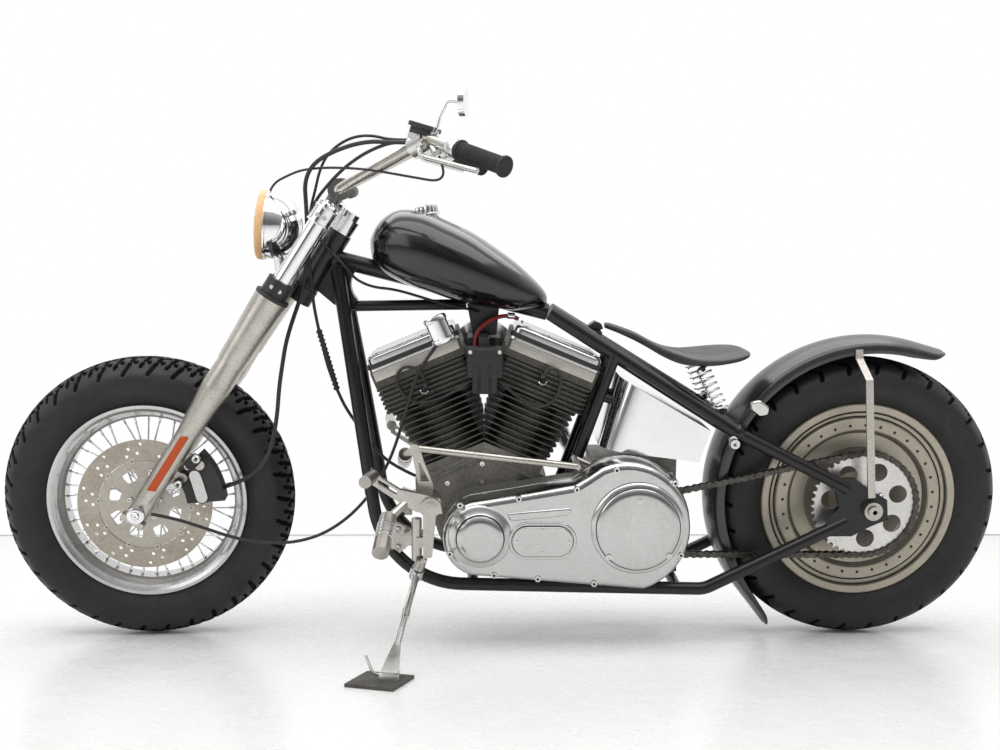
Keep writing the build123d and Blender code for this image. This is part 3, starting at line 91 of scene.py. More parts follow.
def add(tree, kind, inputs=None, **settings):
    """Shader node with its settings, whose inputs are values or other sockets."""
    node = tree.nodes.new("ShaderNode" + kind)
    for key, value in settings.items():
        setattr(node, key, value)
    for key, value in (inputs or {}).items():
        if isinstance(value, bpy.types.NodeSocket):
            tree.links.new(value, node.inputs[key])
        else:
            node.inputs[key].default_value = value
    return node


def maths(tree, operation, *values):
    """Output of a math node."""
    return add(tree, "Math", dict(enumerate(values)), operation=operation).outputs[0]


def coordinates(tree):
    """Place on the object, in metres, for a texture to follow."""
    return add(tree, "TexCoord").outputs["Object"]


def build_tone_group():
    """Slow and fine variation between two colours."""
    group, given, result = node_group(
        "finish_tone",
        [("Base", "NodeSocketColor", (0.5, 0.5, 0.5, 1)), ("Shade", "NodeSocketColor", (0.3, 0.3, 0.3, 1)),
         ("Patch size", "NodeSocketFloat", 8.0), ("Speck size", "NodeSocketFloat", 160.0),
         ("Amount", "NodeSocketFloat", 0.5)],
        [("Color", "NodeSocketColor")])
    spot = coordinates(group)
    patch = add(group, "TexNoise", {"Vector": spot, "Scale": given.outputs["Patch size"], "Detail": 6.0,
                                    "Roughness": 0.62})
    speck = add(group, "TexNoise", {"Vector": spot, "Scale": given.outputs["Speck size"], "Detail": 3.0})
    joined = maths(group, "MULTIPLY", patch.outputs["Fac"], speck.outputs["Fac"])
    spread = add(group, "MapRange", {"Value": joined, "From Min": 0.14, "From Max": 0.40})
    mask = maths(group, "MULTIPLY", spread.outputs[0], given.outputs["Amount"])
    mix = add(group, "Mix", {"Factor": mask, 6: given.outputs["Base"], 7: given.outputs["Shade"]},
              data_type="RGBA")
    group.links.new(mix.outputs[2], result.inputs["Color"])
    return group


def build_gloss_group():
    """Roughness that wanders between two values, as rubbing and handling leave it."""
    group, given, result = node_group(
        "finish_gloss",
        [("Smooth", "NodeSocketFloat", 0.1), ("Dull", "NodeSocketFloat", 0.3),
         ("Size", "NodeSocketFloat", 14.0)],
        [("Roughness", "NodeSocketFloat")])
    noise = add(group, "TexNoise", {"Vector": coordinates(group), "Scale": given.outputs["Size"],
                                    "Detail": 7.0, "Roughness": 0.6})
    value = add(group, "MapRange", {"Value": noise.outputs["Fac"], "From Min": 0.3, "From Max": 0.7,
                                    "To Min": given.outputs["Smooth"], "To Max": given.outputs["Dull"]})
    group.links.new(value.outputs[0], result.inputs["Roughness"])
    return group


def build_grain_group():
    """Height of a cast, sprayed or hide-like surface: cells and fine noise together."""
    group, given, result = node_group(
        "surface_grain",
        [("Cells", "NodeSocketFloat", 300.0), ("Noise", "NodeSocketFloat", 500.0),
         ("Cell share", "NodeSocketFloat", 0.5)],
        [("Height", "NodeSocketFloat")])
    spot = coordinates(group)
    cells = add(group, "TexVoronoi", {"Vector": spot, "Scale": given.outputs["Cells"]}, feature="SMOOTH_F1")
    noise = add(group, "TexNoise", {"Vector": spot, "Scale": given.outputs["Noise"], "Detail": 4.0})
    mix = add(group, "Mix", {"Factor": given.outputs["Cell share"], 2: noise.outputs["Fac"],
                             3: cells.outputs["Distance"]})
    group.links.new(mix.outputs[0], result.inputs["Height"])
    return group


TONE = build_tone_group()
GLOSS = build_gloss_group()
GRAIN = build_grain_group()


def new_material(name):
    """Material with its node tree and shader."""
    material = bpy.data.materials.new(name)
    material.use_nodes = True
    tree = material.node_tree
    shader = next(node for node in tree.nodes if node.type == "BSDF_PRINCIPLED")
    return material, tree, shader


def use_group(tree, group, values):
    """Group node in a material, with its inputs set."""
    node = tree.nodes.new("ShaderNodeGroup")
    node.node_tree = group
    for key, value in values.items():
        node.inputs[key].default_value = value
    return node


def finish_material(name, base, shade, gloss, metal=0.0, patch=8.0, speck=160.0, amount=0.5, cells=300.0,
                    cell_share=0.4, bump=0.1, depth=0.0002, coat=0.0, coat_rough=0.05, specular=0.5):
    """Material from two tones, a range of roughness and a surface grain."""
    material, tree, shader = new_material(name)
    tone = use_group(tree, TONE, {"Base": (*base, 1), "Shade": (*shade, 1), "Patch size": patch,
                                  "Speck size": speck, "Amount": amount})
    rough = use_group(tree, GLOSS, {"Smooth": gloss[0], "Dull": gloss[1]})
    grain = use_group(tree, GRAIN, {"Cells": cells, "Cell share": cell_share})
    relief = add(tree, "Bump", {"Strength": bump, "Distance": depth, "Height": grain.outputs["Height"]})
    tree.links.new(tone.outputs["Color"], shader.inputs["Base Color"])
    tree.links.new(rough.outputs["Roughness"], shader.inputs["Roughness"])
    tree.links.new(relief.outputs["Normal"], shader.inputs["Normal"])
    shader.inputs["Metallic"].default_value = metal
    shader.inputs["Coat Weight"].default_value = coat
    shader.inputs["Coat Roughness"].default_value = coat_rough
    shader.inputs["Specular IOR Level"].default_value = specular
    return material


frame_paint = finish_material("frame_paint", (0.006, 0.006, 0.0065), (0.013, 0.012, 0.012), (0.24, 0.38),
                              coat=0.15, coat_rough=0.15, bump=0.05, specular=0.4)
tank_paint = finish_material("tank_paint", (0.004, 0.004, 0.0045), (0.007, 0.007, 0.008), (0.14, 0.2),
                             coat=0.5, coat_rough=0.09, bump=0.01)
fender_paint = finish_material("fender_paint", (0.020, 0.020, 0.022), (0.034, 0.033, 0.032), (0.22, 0.34),
                               cells=420, bump=0.08, specular=0.8)
black_casting = finish_material("black_casting", (0.018, 0.018, 0.019), (0.05, 0.048, 0.045), (0.40, 0.6),
                                bump=0.3)
black_moulding = finish_material("black_moulding", (0.016, 0.016, 0.017), (0.035, 0.035, 0.036), (0.45, 0.62),
                                 cells=700, bump=0.25)
grip_rubber = finish_material("grip_rubber", (0.014, 0.014, 0.014), (0.03, 0.029, 0.028), (0.55, 0.75),
                              bump=0.3)
tyre_rubber = finish_material("tyre_rubber", (0.012, 0.012, 0.0122), (0.026, 0.025, 0.024), (0.48, 0.68),
                              patch=5, speck=90, amount=0.6, cells=500, bump=0.3, specular=0.45)
# painted shade: near-black, dull material for the faces inside the tread's grooves, where shade falls
painted_groove_shade = finish_material("painted_groove_shade", (0.002, 0.002, 0.002), (0.005, 0.005, 0.005), (0.75, 0.9),
                                patch=5, bump=0.2, specular=0.15)
seat_hide = finish_material("seat_hide", (0.030, 0.029, 0.030), (0.062, 0.058, 0.055), (0.40, 0.58), patch=11,
                            cells=520, cell_share=0.8, bump=0.5, depth=0.0003)
bright_chrome = finish_material("bright_chrome", (0.86, 0.87, 0.88), (0.72, 0.71, 0.69), (0.05, 0.14),
                                metal=1.0, amount=0.35, bump=0.02)
dull_chrome = finish_material("dull_chrome", (0.74, 0.74, 0.73), (0.50, 0.49, 0.46), (0.14, 0.28), metal=1.0,
                              amount=0.6, bump=0.05)
polished_cover = finish_material("polished_cover", (0.60, 0.60, 0.595), (0.42, 0.415, 0.40), (0.13, 0.26),
                                 metal=1.0, patch=9, amount=0.45, bump=0.03)
cast_case = finish_material("cast_case", (0.26, 0.25, 0.225), (0.12, 0.115, 0.10), (0.42, 0.62), metal=0.75,
                            patch=14, cells=380, bump=0.45, amount=0.8)
fin_coating = finish_material("fin_coating", (0.115, 0.110, 0.095), (0.045, 0.043, 0.037), (0.38, 0.6),
                              metal=0.7, patch=16, cells=420, bump=0.4, amount=0.8)
machined_alloy = finish_material("machined_alloy", (0.54, 0.52, 0.48), (0.36, 0.34, 0.31), (0.22, 0.38),
                                 metal=1.0, amount=0.5, bump=0.1)
satin_alloy = finish_material("satin_alloy", (0.60, 0.575, 0.53), (0.36, 0.34, 0.30), (0.26, 0.44), metal=1.0,
                              patch=12, speck=220, amount=0.6, bump=0.15)
bar_steel = finish_material("bar_steel", (0.62, 0.59, 0.54), (0.42, 0.39, 0.34), (0.2, 0.36), metal=1.0,
                            bump=0.08)
rotor_steel = finish_material("rotor_steel", (0.44, 0.40, 0.34), (0.27, 0.24, 0.20), (0.3, 0.48), metal=1.0,
                              patch=20, amount=0.55, bump=0.15)
carrier_alloy = finish_material("carrier_alloy", (0.50, 0.47, 0.42), (0.33, 0.30, 0.26), (0.34, 0.5),
                                metal=1.0, bump=0.2)
sprocket_alloy = finish_material("sprocket_alloy", (0.74, 0.73, 0.71), (0.52, 0.51, 0.48), (0.26, 0.4),
                                 metal=1.0, patch=20, bump=0.12)
chain_steel = finish_material("chain_steel", (0.13, 0.125, 0.11), (0.035, 0.032, 0.027), (0.25, 0.5),
                              metal=0.9, patch=60, amount=0.9, bump=0.2)
wheel_paint = finish_material("wheel_paint", (0.47, 0.43, 0.35), (0.33, 0.30, 0.24), (0.3, 0.46), metal=0.5,
                              patch=10, amount=0.5, bump=0.12)
pad_plate = finish_material("pad_plate", (0.13, 0.125, 0.115), (0.055, 0.05, 0.045), (0.5, 0.75), metal=0.5,
                            patch=26, amount=0.9, bump=0.5)
cable_sheath = finish_material("cable_sheath", (0.014, 0.014, 0.014), (0.03, 0.03, 0.03), (0.35, 0.5),
                               bump=0.15)
red_sheath = finish_material("red_sheath", (0.30, 0.012, 0.014), (0.16, 0.01, 0.01), (0.3, 0.45), bump=0.1)
# near-black painted shade, laid as thin rings, plates and discs in gaps, grooves and recesses where shade
# falls; the rear wheel's rivet heads and the caliper pins are drawn in it as well
painted_shade_and_dark_parts = finish_material("painted_shade_and_dark_parts", (0.02, 0.018, 0.015), (0.05, 0.045, 0.035), (0.5, 0.7), bump=0.2)
rim_metal = finish_material("rim_metal", (0.60, 0.60, 0.60), (0.42, 0.42, 0.41), (0.16, 0.3), metal=1.0,
                            patch=9, amount=0.5, bump=0.04)
riser_metal = finish_material("riser_metal", (0.20, 0.20, 0.195), (0.11, 0.11, 0.105), (0.32, 0.5),
                              metal=0.85, patch=30, bump=0.3)
# painted shade: the wheel paint darkened to about two fifths, for the sunken web of the rear disc wheel
web_painted_shade = finish_material("web_painted_shade", (0.19, 0.175, 0.145), (0.13, 0.12, 0.095), (0.36, 0.52), metal=0.5,
                           patch=7, bump=0.12)
mirror_face = finish_material("mirror_face", (0.9, 0.91, 0.92), (0.85, 0.86, 0.87), (0.01, 0.03), metal=1.0,
                              bump=0.0)


def lens_material(name, base, shade, rough, clear):
    """Coloured lens, cloudy or partly clear."""
    material = finish_material(name, base, shade, rough, patch=12, amount=0.4, cells=150, bump=0.1)
    shader = next(node for node in material.node_tree.nodes if node.type == "BSDF_PRINCIPLED")
    shader.inputs["Transmission Weight"].default_value = clear
    shader.inputs["IOR"].default_value = 1.45
    return material


lamp_amber = lens_material("lamp_amber", (0.80, 0.50, 0.25), (0.72, 0.42, 0.19), (0.3, 0.45), 0.0)
marker_orange = lens_material("marker_orange", (0.58, 0.075, 0.005), (0.44, 0.05, 0.003), (0.12, 0.25), 0.1)


def clamp_material():
    """Chrome above, black paint below: the upper and the lower fork clamps are one piece."""
    material, tree, shader = new_material("clamp_finish")
    spot = add(tree, "TexCoord")
    height = add(tree, "SeparateXYZ", {0: spot.outputs["Object"]})
    upper = add(tree, "MapRange", {"Value": height.outputs["Z"], "From Min": 0.862, "From Max": 0.864})
    chrome = use_group(tree, TONE, {"Base": (0.80, 0.80, 0.80, 1), "Shade": (0.55, 0.54, 0.52, 1),
                                    "Amount": 0.4})
    black = use_group(tree, TONE, {"Base": (0.014, 0.014, 0.015, 1), "Shade": (0.03, 0.03, 0.03, 1),
                                   "Amount": 0.6})
    colour = add(tree, "Mix", {"Factor": upper.outputs[0], 6: black.outputs[0], 7: chrome.outputs[0]},
                 data_type="RGBA")
    bright = use_group(tree, GLOSS, {"Smooth": 0.08, "Dull": 0.2})
    dull = use_group(tree, GLOSS, {"Smooth": 0.3, "Dull": 0.48})
    rough = add(tree, "Mix", {"Factor": upper.outputs[0], 2: dull.outputs[0], 3: bright.outputs[0]})
    tree.links.new(colour.outputs[2], shader.inputs["Base Color"])
    tree.links.new(rough.outputs[0], shader.inputs["Roughness"])
    tree.links.new(upper.outputs[0], shader.inputs["Metallic"])
    return material


clamp_finish = clamp_material()

# ---- finishes on the solids that stay ----
NODE_FINISH = {
    frame_paint: ["frame_neck", "frame_spine", "down_tubes", "frame_rails", "frame_cross_members",
                  "frame_stays", "seat_posts", "axle_plates", "seat_pivot"],
    machined_alloy: ["rear_axle", "foot_controls", "front_axle"],
    cast_case: ["engine_case", "gearbox", "primary_inner"],
    fin_coating: ["front_cylinder", "rear_cylinder"],
    polished_cover: ["timing_cover"],
    bright_chrome: ["air_cleaner", "exhaust_pipes", "oil_tank", "fork_tubes", "headlamp", "front_hub",
                    "mirror_arm"],
    rim_metal: ["front_rim"],
    riser_metal: ["bar_risers"],
    clamp_finish: ["fork_clamps"],
    satin_alloy: ["fork_sliders", "shift_linkage", "fender_struts"],
    bar_steel: ["handlebar"],
    black_casting: ["rear_caliper", "front_caliper"],
    wheel_paint: ["rear_wheel_disc"],
    dull_chrome: ["stand_leg", "hand_controls"],
    pad_plate: ["stand_pad"],
}
for finish, names in NODE_FINISH.items():
    for name in names:
        if name in nodes:
            data = nodes[name].data
            data.materials.clear()
            data.materials.append(finish)


# ---- ways of making a piece ----
SHARP_FROM = 40  # degrees: edges sharper than this stay sharp
STEERED = ("steering", "front_wheel")  # bodies that turn with the bar


def in_scene(name, data):
    """Object of a mesh, lamp or camera, linked to the scene."""
    thing = bpy.data.objects.new(name, data)
    bpy.context.scene.collection.objects.link(thing)
    return thing


def put(name, mesh, material, body, replaces=(), smooth=SHARP_FROM):
    """Piece from a mesh, or several, laid out on the upright machine."""
    mesh = join_meshes(mesh) if isinstance(mesh, list) else mesh
    mesh.transform(STAND @ STEER if body in STEERED else STAND)
    facing = bmesh.new()
    facing.from_mesh(mesh)
    bmesh.ops.recalc_face_normals(facing, faces=facing.faces)
    facing.to_mesh(mesh)
    facing.free()
    mesh.name = name
    mesh.materials.clear()
    mesh.materials.append(material)
    piece = in_scene(name, mesh)
    mesh.shade_smooth()
    mesh.set_sharp_from_angle(angle=radians(smooth))
    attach(piece, body)
    if replaces:
        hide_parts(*replaces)
    return piece


def mesh_from(points, faces):
    """Mesh from points and the corners of each face."""
    mesh = bpy.data.meshes.new("work")
    mesh.from_pydata([tuple(point) for point in points], [], faces)
    mesh.update()
    return mesh


def join_meshes(meshes):
    """One mesh from several, each of them left out of the scene."""
    joined = bmesh.new()
    for mesh in meshes:
        joined.from_mesh(mesh)
        bpy.data.meshes.remove(mesh)
    mesh = bpy.data.meshes.new("work")
    joined.to_mesh(mesh)
    joined.free()
    return mesh


def moved(mesh, at):
    """The mesh, shifted by a vector or carried by a matrix."""
    mesh.transform(at if isinstance(at, Matrix) else Matrix.Translation(at))
    return mesh


def lofted(points, rows):
    """Closed skin through rings of points, rows to a ring, with a flat face at either end."""
    last = len(points) // rows - 1
    faces = []
    for level in range(last):
        for k in range(rows):
            ahead = (k + 1) % rows
            low, high = level * rows, (level + 1) * rows
            faces.append((low + k, low + ahead, high + ahead, high + k))
    faces.append(tuple(range(rows - 1, -1, -1)))
    faces.append(tuple(last * rows + k for k in range(rows)))
    return mesh_from(points, faces)


def copies(mesh, places):
    """The mesh repeated at each matrix, as one mesh."""
    parts = [moved(mesh.copy(), matrix) for matrix in places]
    bpy.data.meshes.remove(mesh)
    return join_meshes(parts)


def mirrored_pair(mesh):
    """The mesh and its mirror image across the middle plane."""
    other = moved(mesh.copy(), Matrix.Scale(-1, 4, (0, 1, 0)))
    other.flip_normals()
    return join_meshes([mesh, other])


def revolved(profile, count, closed=False):
    """Mesh turned about the y axis from (radius, y) corners."""
    points, faces = [], []
    rows = len(profile)
    for step in range(count):
        angle = 2 * pi * step / count
        points += [(radius * cos(angle), y, radius * sin(angle)) for radius, y in profile]
    last = rows if closed else rows - 1
    for step in range(count):
        ahead = (step + 1) % count
        for row in range(last):
            up = (row + 1) % rows
            faces.append((step * rows + row, step * rows + up, ahead * rows + up, ahead * rows + row))
    mesh = mesh_from(points, faces)
    tidy = bmesh.new()
    tidy.from_mesh(mesh)
    bmesh.ops.remove_doubles(tidy, verts=tidy.verts, dist=0.01)
    tidy.to_mesh(mesh)
    tidy.free()
    return mesh


def along(start, end):
    """Matrix that takes the y axis onto the line from start to end, with its origin at start."""
    start, end = Vector(start), Vector(end)
    turn = (end - start).to_track_quat("Y", "Z").to_matrix().to_4x4()
    return Matrix.Translation(start) @ turn


def axes(x_dir, y_dir, z_dir, at):
    """Matrix from three directions and an origin."""
    return Matrix(((*x_dir, 0), (*y_dir, 0), (*z_dir, 0), (*at, 1))).transposed()


def bar(start, end, profile, count=24):
    """Turned piece between two points, from (radius, distance) corners."""
    return moved(revolved(profile, count), along(start, end))


def round_bar(start, end, radius, edge=1.0):
    """Round bar between two points, its ends chamfered."""
    length = (Vector(end) - Vector(start)).length
    return bar(start, end, [(0, 0), (radius - edge, 0), (radius, edge), (radius, length - edge),
                            (radius - edge, length), (0, length)])


def curve_mesh(splines, kind="POLY", radius=0.0, sides=6, flat=None, steps=8):
    """Mesh from a bpy curve: a round tube, or with flat=(thickness, edge) a plate with rounded edges."""
    data = bpy.data.curves.new("work", "CURVE")
    data.dimensions = "2D" if flat else "3D"
    data.resolution_u = steps
    if flat:
        thick, edge = flat
        data.fill_mode = "BOTH"
        data.extrude = thick / 2 - edge
        data.bevel_depth = edge
        data.offset = -edge
        data.bevel_resolution = 3
    else:
        data.bevel_depth = radius
        data.bevel_resolution = sides
        data.use_fill_caps = True
    for points in splines:
        spline = data.splines.new(kind)
        spline.points.add(len(points) - 1)
        for spot, point in zip(spline.points, points):
            spot.co = (*point, 0, 1) if len(point) == 2 else (*point, 1)
        if kind == "NURBS":
            spline.order_u = 3
            spline.use_endpoint_u = True
        spline.use_cyclic_u = bool(flat)
    holder = in_scene("work", data)
    bpy.context.view_layer.update()
    mesh = bpy.data.meshes.new_from_object(holder.evaluated_get(bpy.context.evaluated_depsgraph_get()))
    bpy.data.objects.remove(holder)
    bpy.data.curves.remove(data)
    return mesh


def plate(outline, low, high, edge=1.0, holes=()):
    """Side-view plate from (x, z) corners between two distances from the middle plane."""
    mesh = curve_mesh([outline, *holes], flat=(high - low, edge))
    return moved(mesh, axes((1, 0, 0), (0, 0, 1), (0, -1, 0), (0, (low + high) / 2, 0)))


def ring(x, z, radius, count=48):
    """Points of a circle in the side view."""
    return [(x + radius * cos(2 * pi * k / count), z + radius * sin(2 * pi * k / count))
            for k in range(count)]


def rounded(corners, radii, steps=6):
    """Outline with each corner rounded to its radius."""
    outline = []
    count = len(corners)
    radii = radii if isinstance(radii, list) else [radii] * count
    for index, radius in enumerate(radii):
        at = Vector(corners[index])
        before, after = Vector(corners[index - 1]) - at, Vector(corners[(index + 1) % count]) - at
        half = before.angle(after) / 2
        reach = min(radius / tan(half), before.length * 0.49, after.length * 0.49)
        first, last = at + before.normalized() * reach, at + after.normalized() * reach
        for step in range(steps + 1):
            share = step / steps
            outline.append(tuple(first * (1 - share) ** 2 + at * 2 * share * (1 - share) + last * share ** 2))
    return outline


def cap_bolt(radius, height):
    """Socket-head bolt along +y, its hexagon recess sunk in the top."""
    depth, key = height * 0.6, radius * 0.5
    return revolved([(radius, 0), (radius, height * 0.85), (radius * 0.9, height), (key, height),
                     (key, height - depth), (0, height - depth)], 18)


def hex_bolt(radius, height):
    """Hexagonal bolt head along +y, its top chamfered."""
    return revolved([(radius, 0), (radius, height * 0.8), (radius * 0.85, height), (0, height)], 6)


def bolts(spots, y, radius, height, kind=cap_bolt):
    """Bolts along +y at (x, z) spots, seated at a distance from the middle plane."""
    return copies(kind(radius, height), [Matrix.Translation((x, y, z)) for x, z in spots])


def smooth_line(points, steps):
    """Points on a smooth curve through the given ones."""
    line = []
    count = len(points)
    for index in range(count - 1):
        p0 = Vector(points[max(index - 1, 0)])
        p1, p2 = Vector(points[index]), Vector(points[index + 1])
        p3 = Vector(points[min(index + 2, count - 1)])
        for step in range(steps):
            t = step / steps
            line.append(0.5 * ((2 * p1) + (p2 - p0) * t + (2 * p0 - 5 * p1 + 4 * p2 - p3) * t * t
                               + (3 * p1 - p0 - 3 * p2 + p3) * t ** 3))
    line.append(Vector(points[-1]))
    return line


# ---- wheels ----
FRONT_LUGS, REAR_LUGS = 34, 30  # on each side of the tread
GROOVE_DEPTH = 6.0


def wave(value):
    """Triangle wave between -1 and 1 with a period of 1."""
    return 4 * abs(value - int(value + 1000.5) + 1000) - 1


def near(value, width):
    """1 on the line value = 0 (mod 1), falling to 0 at the given width."""
    away = abs(value - round(value))
    return max(0.0, min(1.0, (width - away) / (width * 0.45)))


def front_tread(turn, y):
    """Depth of the grooves at an angle in turns and a distance from the middle."""
    lie = turn * FRONT_LUGS + (0.25 if y > 0 else 0.0)
    depth = near((abs(y) - 9 - 4.5 * wave(lie)) / 100, 0.026)
    if 12 < abs(y) < 62:
        kink = 0.45 * min(max((abs(y) - 26) / 9, 0), 1)
        slant = lie + 0.010 * (abs(y) - 12) + kink
        depth = max(depth, near(slant, 0.105))
        if abs(y) < 47:
            depth = max(depth, near(slant + 0.5, 0.085))
    return GROOVE_DEPTH * depth


def rear_tread(turn, y):
    """The same for the rear tyre: long grooves that curve out to the shoulders."""
    lie = turn * REAR_LUGS + (0.5 if y > 0 else 0.0)
    depth = near((abs(y) - 12) / 100, 0.026)
    if abs(y) > 18:
        slant = lie - 0.010 * (abs(y) - 18) + 0.18 * wave(abs(y) / 44)
        depth = max(depth, near(slant, 0.085))
    return GROOVE_DEPTH * depth


GROOVE_FROM = 1.4  # depth from which a face of the tread is a groove
TYRE_STEPS = 820
BEAD_R, FLANK_R, BELLY_R = 204, 240, 262
SHOULDER_DROP = 22  # from the crown in to the shoulder
SPOKES, SPOKE_LAY = 40, 28
SPOKE_HUB_R, SPOKE_RIM_R, NIPPLE = 35, 186.4, 15
ROTOR_R = 146


def tyre_mesh(outer, half, shoulder_half, rim_half, tread):
    """Tyre with grooves cut into its crown, and the numbers of the faces that lie in them."""
    shoulder = outer - SHOULDER_DROP
    side = [(BEAD_R, rim_half), (BEAD_R + 15, rim_half), (FLANK_R, (half + rim_half) / 2 + 4.5),
            (BELLY_R, half), ((shoulder + BELLY_R) / 2 + 4, half - 2.5), (shoulder, shoulder_half),
            (outer - SHOULDER_DROP * 0.22, shoulder_half * 0.5)]
    profile = smooth_line(side + [(outer, 0)] + [(radius, -y) for radius, y in reversed(side)], 5)
    rows = len(profile)
    points, faces, depths, sunken = [], [], [], []
    for step in range(TYRE_STEPS):
        turn = step / TYRE_STEPS
        angle = 2 * pi * turn
        for radius, y in profile:
            sunk = 0.0
            if radius > shoulder - 12:
                fade = min((radius - outer + SHOULDER_DROP + 12) / 7, 1)
                sunk = tread(turn, y) * fade
                radius -= sunk * 0.8
                y -= sunk * 0.5 * y / half
            depths.append(sunk)
            points.append((radius * cos(angle), y, radius * sin(angle)))
    for step in range(TYRE_STEPS):
        low, high = step * rows, (step + 1) % TYRE_STEPS * rows
        for row in range(rows - 1):
            corners = (low + row, high + row, high + row + 1, low + row + 1)
            if sum(depths[index] for index in corners) > GROOVE_FROM * 4:
                sunken.append(len(faces))
            faces.append(corners)
    return mesh_from(points, faces), sunken


def build_tyres():
    """Both tyres, with painted shade in their grooves: a near-black material on the faces that lie in them.
    """
    for name, body, axle, outer, half, shoulder_half, rim_half, tread in (
            ("front", "front_wheel", FRONT_AXLE, 319.8, 65, 52, 41, front_tread),
            ("rear", "rear_wheel", REAR_AXLE, 321.8, 66, 54, 43, rear_tread)):
        mesh, sunken = tyre_mesh(outer, half, shoulder_half, rim_half, tread)
        piece = put(name + "_tread", moved(mesh, axle), tyre_rubber, body, [name + "_tyre"],
                    smooth=32)
        # the faces in the grooves take the painted groove shade
        piece.data.materials.append(painted_groove_shade)
        for index in sunken:
            piece.data.polygons[index].material_index = 1


def polar(centre, radius, angle):
    """Point (x, z) at a distance and an angle in degrees from a centre."""
    return centre[0] + radius * cos(radians(angle)), centre[1] + radius * sin(radians(angle))


def spots_round(centre, radius, count, phase=0.0):
    """Spots evenly round a circle, from a phase in degrees."""
    return [polar(centre, radius, 360 / count * k + phase) for k in range(count)]


def build_front_wheel():
    """Spoke nipples, drilled rotor on its carrier, and the fixings at the hub."""
    centre = (FRONT_AXLE.x, FRONT_AXLE.z)
    nipples = []
    for index in range(SPOKES):
        angle = 360 / SPOKES * index
        side = 1 if index % 2 else -1
        lay = SPOKE_LAY if index % 4 < 2 else -SPOKE_LAY
        ix, iz = polar(centre, SPOKE_HUB_R, angle + lay)
        ox, oz = polar(centre, SPOKE_RIM_R, angle)
        inner, outer = Vector((ix, side * 30, iz)), Vector((ox, side * 6, oz))
        away = (outer - inner).normalized()
        nipples.append(bar(outer - away * NIPPLE, outer + away * 0.5,
                           [(2.1, 0), (3.0, 1), (3.0, 11), (4.0, 12), (4.0, NIPPLE)], 8))
    put("spoke_nipples", nipples, bright_chrome, "front_wheel")

    drilled = []
    for sector in range(10):
        for radius, shift in ((113, 0), (116, 12), (128, 4), (136, 16)):
            drilled.append(ring(*polar(centre, radius, 36 * sector + shift), 4.0, 14))
    rotor = plate(ring(*centre, ROTOR_R, 120), 62, 67, 0.5, [ring(*centre, 101, 96), *drilled])
    put("front_rotor", rotor, rotor_steel, "front_wheel", ["front_disc"])
    windows = []
    for index in range(8):
        a = 45 * index + 9
        corners = [polar(centre, radius, a + turn)
                   for radius, turn in ((57, -1), (80, -3), (83, 21), (57, 24))]
        windows.append(rounded(corners, 8))
    carrier = plate(ring(*centre, 99.6, 96), 61.5, 66, 0.6, [ring(*centre, 18.2, 24), *windows])
    put("rotor_carrier", carrier, carrier_alloy, "front_wheel")
    buttons = bolts(spots_round(centre, 100.4, 10, 5), 61.2, 6.5, 6.4)
    put("rotor_buttons", buttons, satin_alloy, "front_wheel")
    hub = bolts(spots_round(centre, 34, 5, 20), 66, 5.5, 6)
    put("rotor_bolts", hub, dull_chrome, "front_wheel")
    hub_face = revolved([(18, 66), (26, 66), (27, 67), (27, 76), (24, 79), (16.5, 79)], 40)
    put("hub_face", moved(hub_face, FRONT_AXLE), satin_alloy, "front_wheel")


PITCH = 15.875
CHAIN_Y = 84.0
INNER_LINK, OUTER_LINK = 5.2, 7.3  # link plates' distances from the chain's middle
REAR_TEETH, FRONT_TEETH = 46, 24
SPROCKET_REAR = PITCH / (2 * sin(pi / REAR_TEETH))
SPROCKET_FRONT = PITCH / (2 * sin(pi / FRONT_TEETH))
OUTPUT = (512.0, 269.0)
CHAIN_SPAN = hypot(OUTPUT[0] - REAR_AXLE.x, OUTPUT[1] - REAR_AXLE.z)
CHAIN_BASE = atan2(OUTPUT[1] - REAR_AXLE.z, OUTPUT[0] - REAR_AXLE.x)


def sprocket_outline(centre):
    """Teeth that stand between the rollers: shares of one pitch and heights over the pitch circle."""
    outline = []
    tooth = ((0.0, -5.5), (0.18, -4.7), (0.29, -2.6), (0.345, 0.0), (0.41, 1.9), (0.5, 2.6), (0.59, 1.9),
             (0.655, 0.0), (0.71, -2.6), (0.82, -4.7))
    for count in range(REAR_TEETH):
        for share, rise in tooth:
            angle = CHAIN_BASE + pi + 2 * pi * (count + share) / REAR_TEETH
            radius = SPROCKET_REAR + rise
            outline.append((centre[0] + radius * cos(angle), centre[1] + radius * sin(angle)))
    return outline


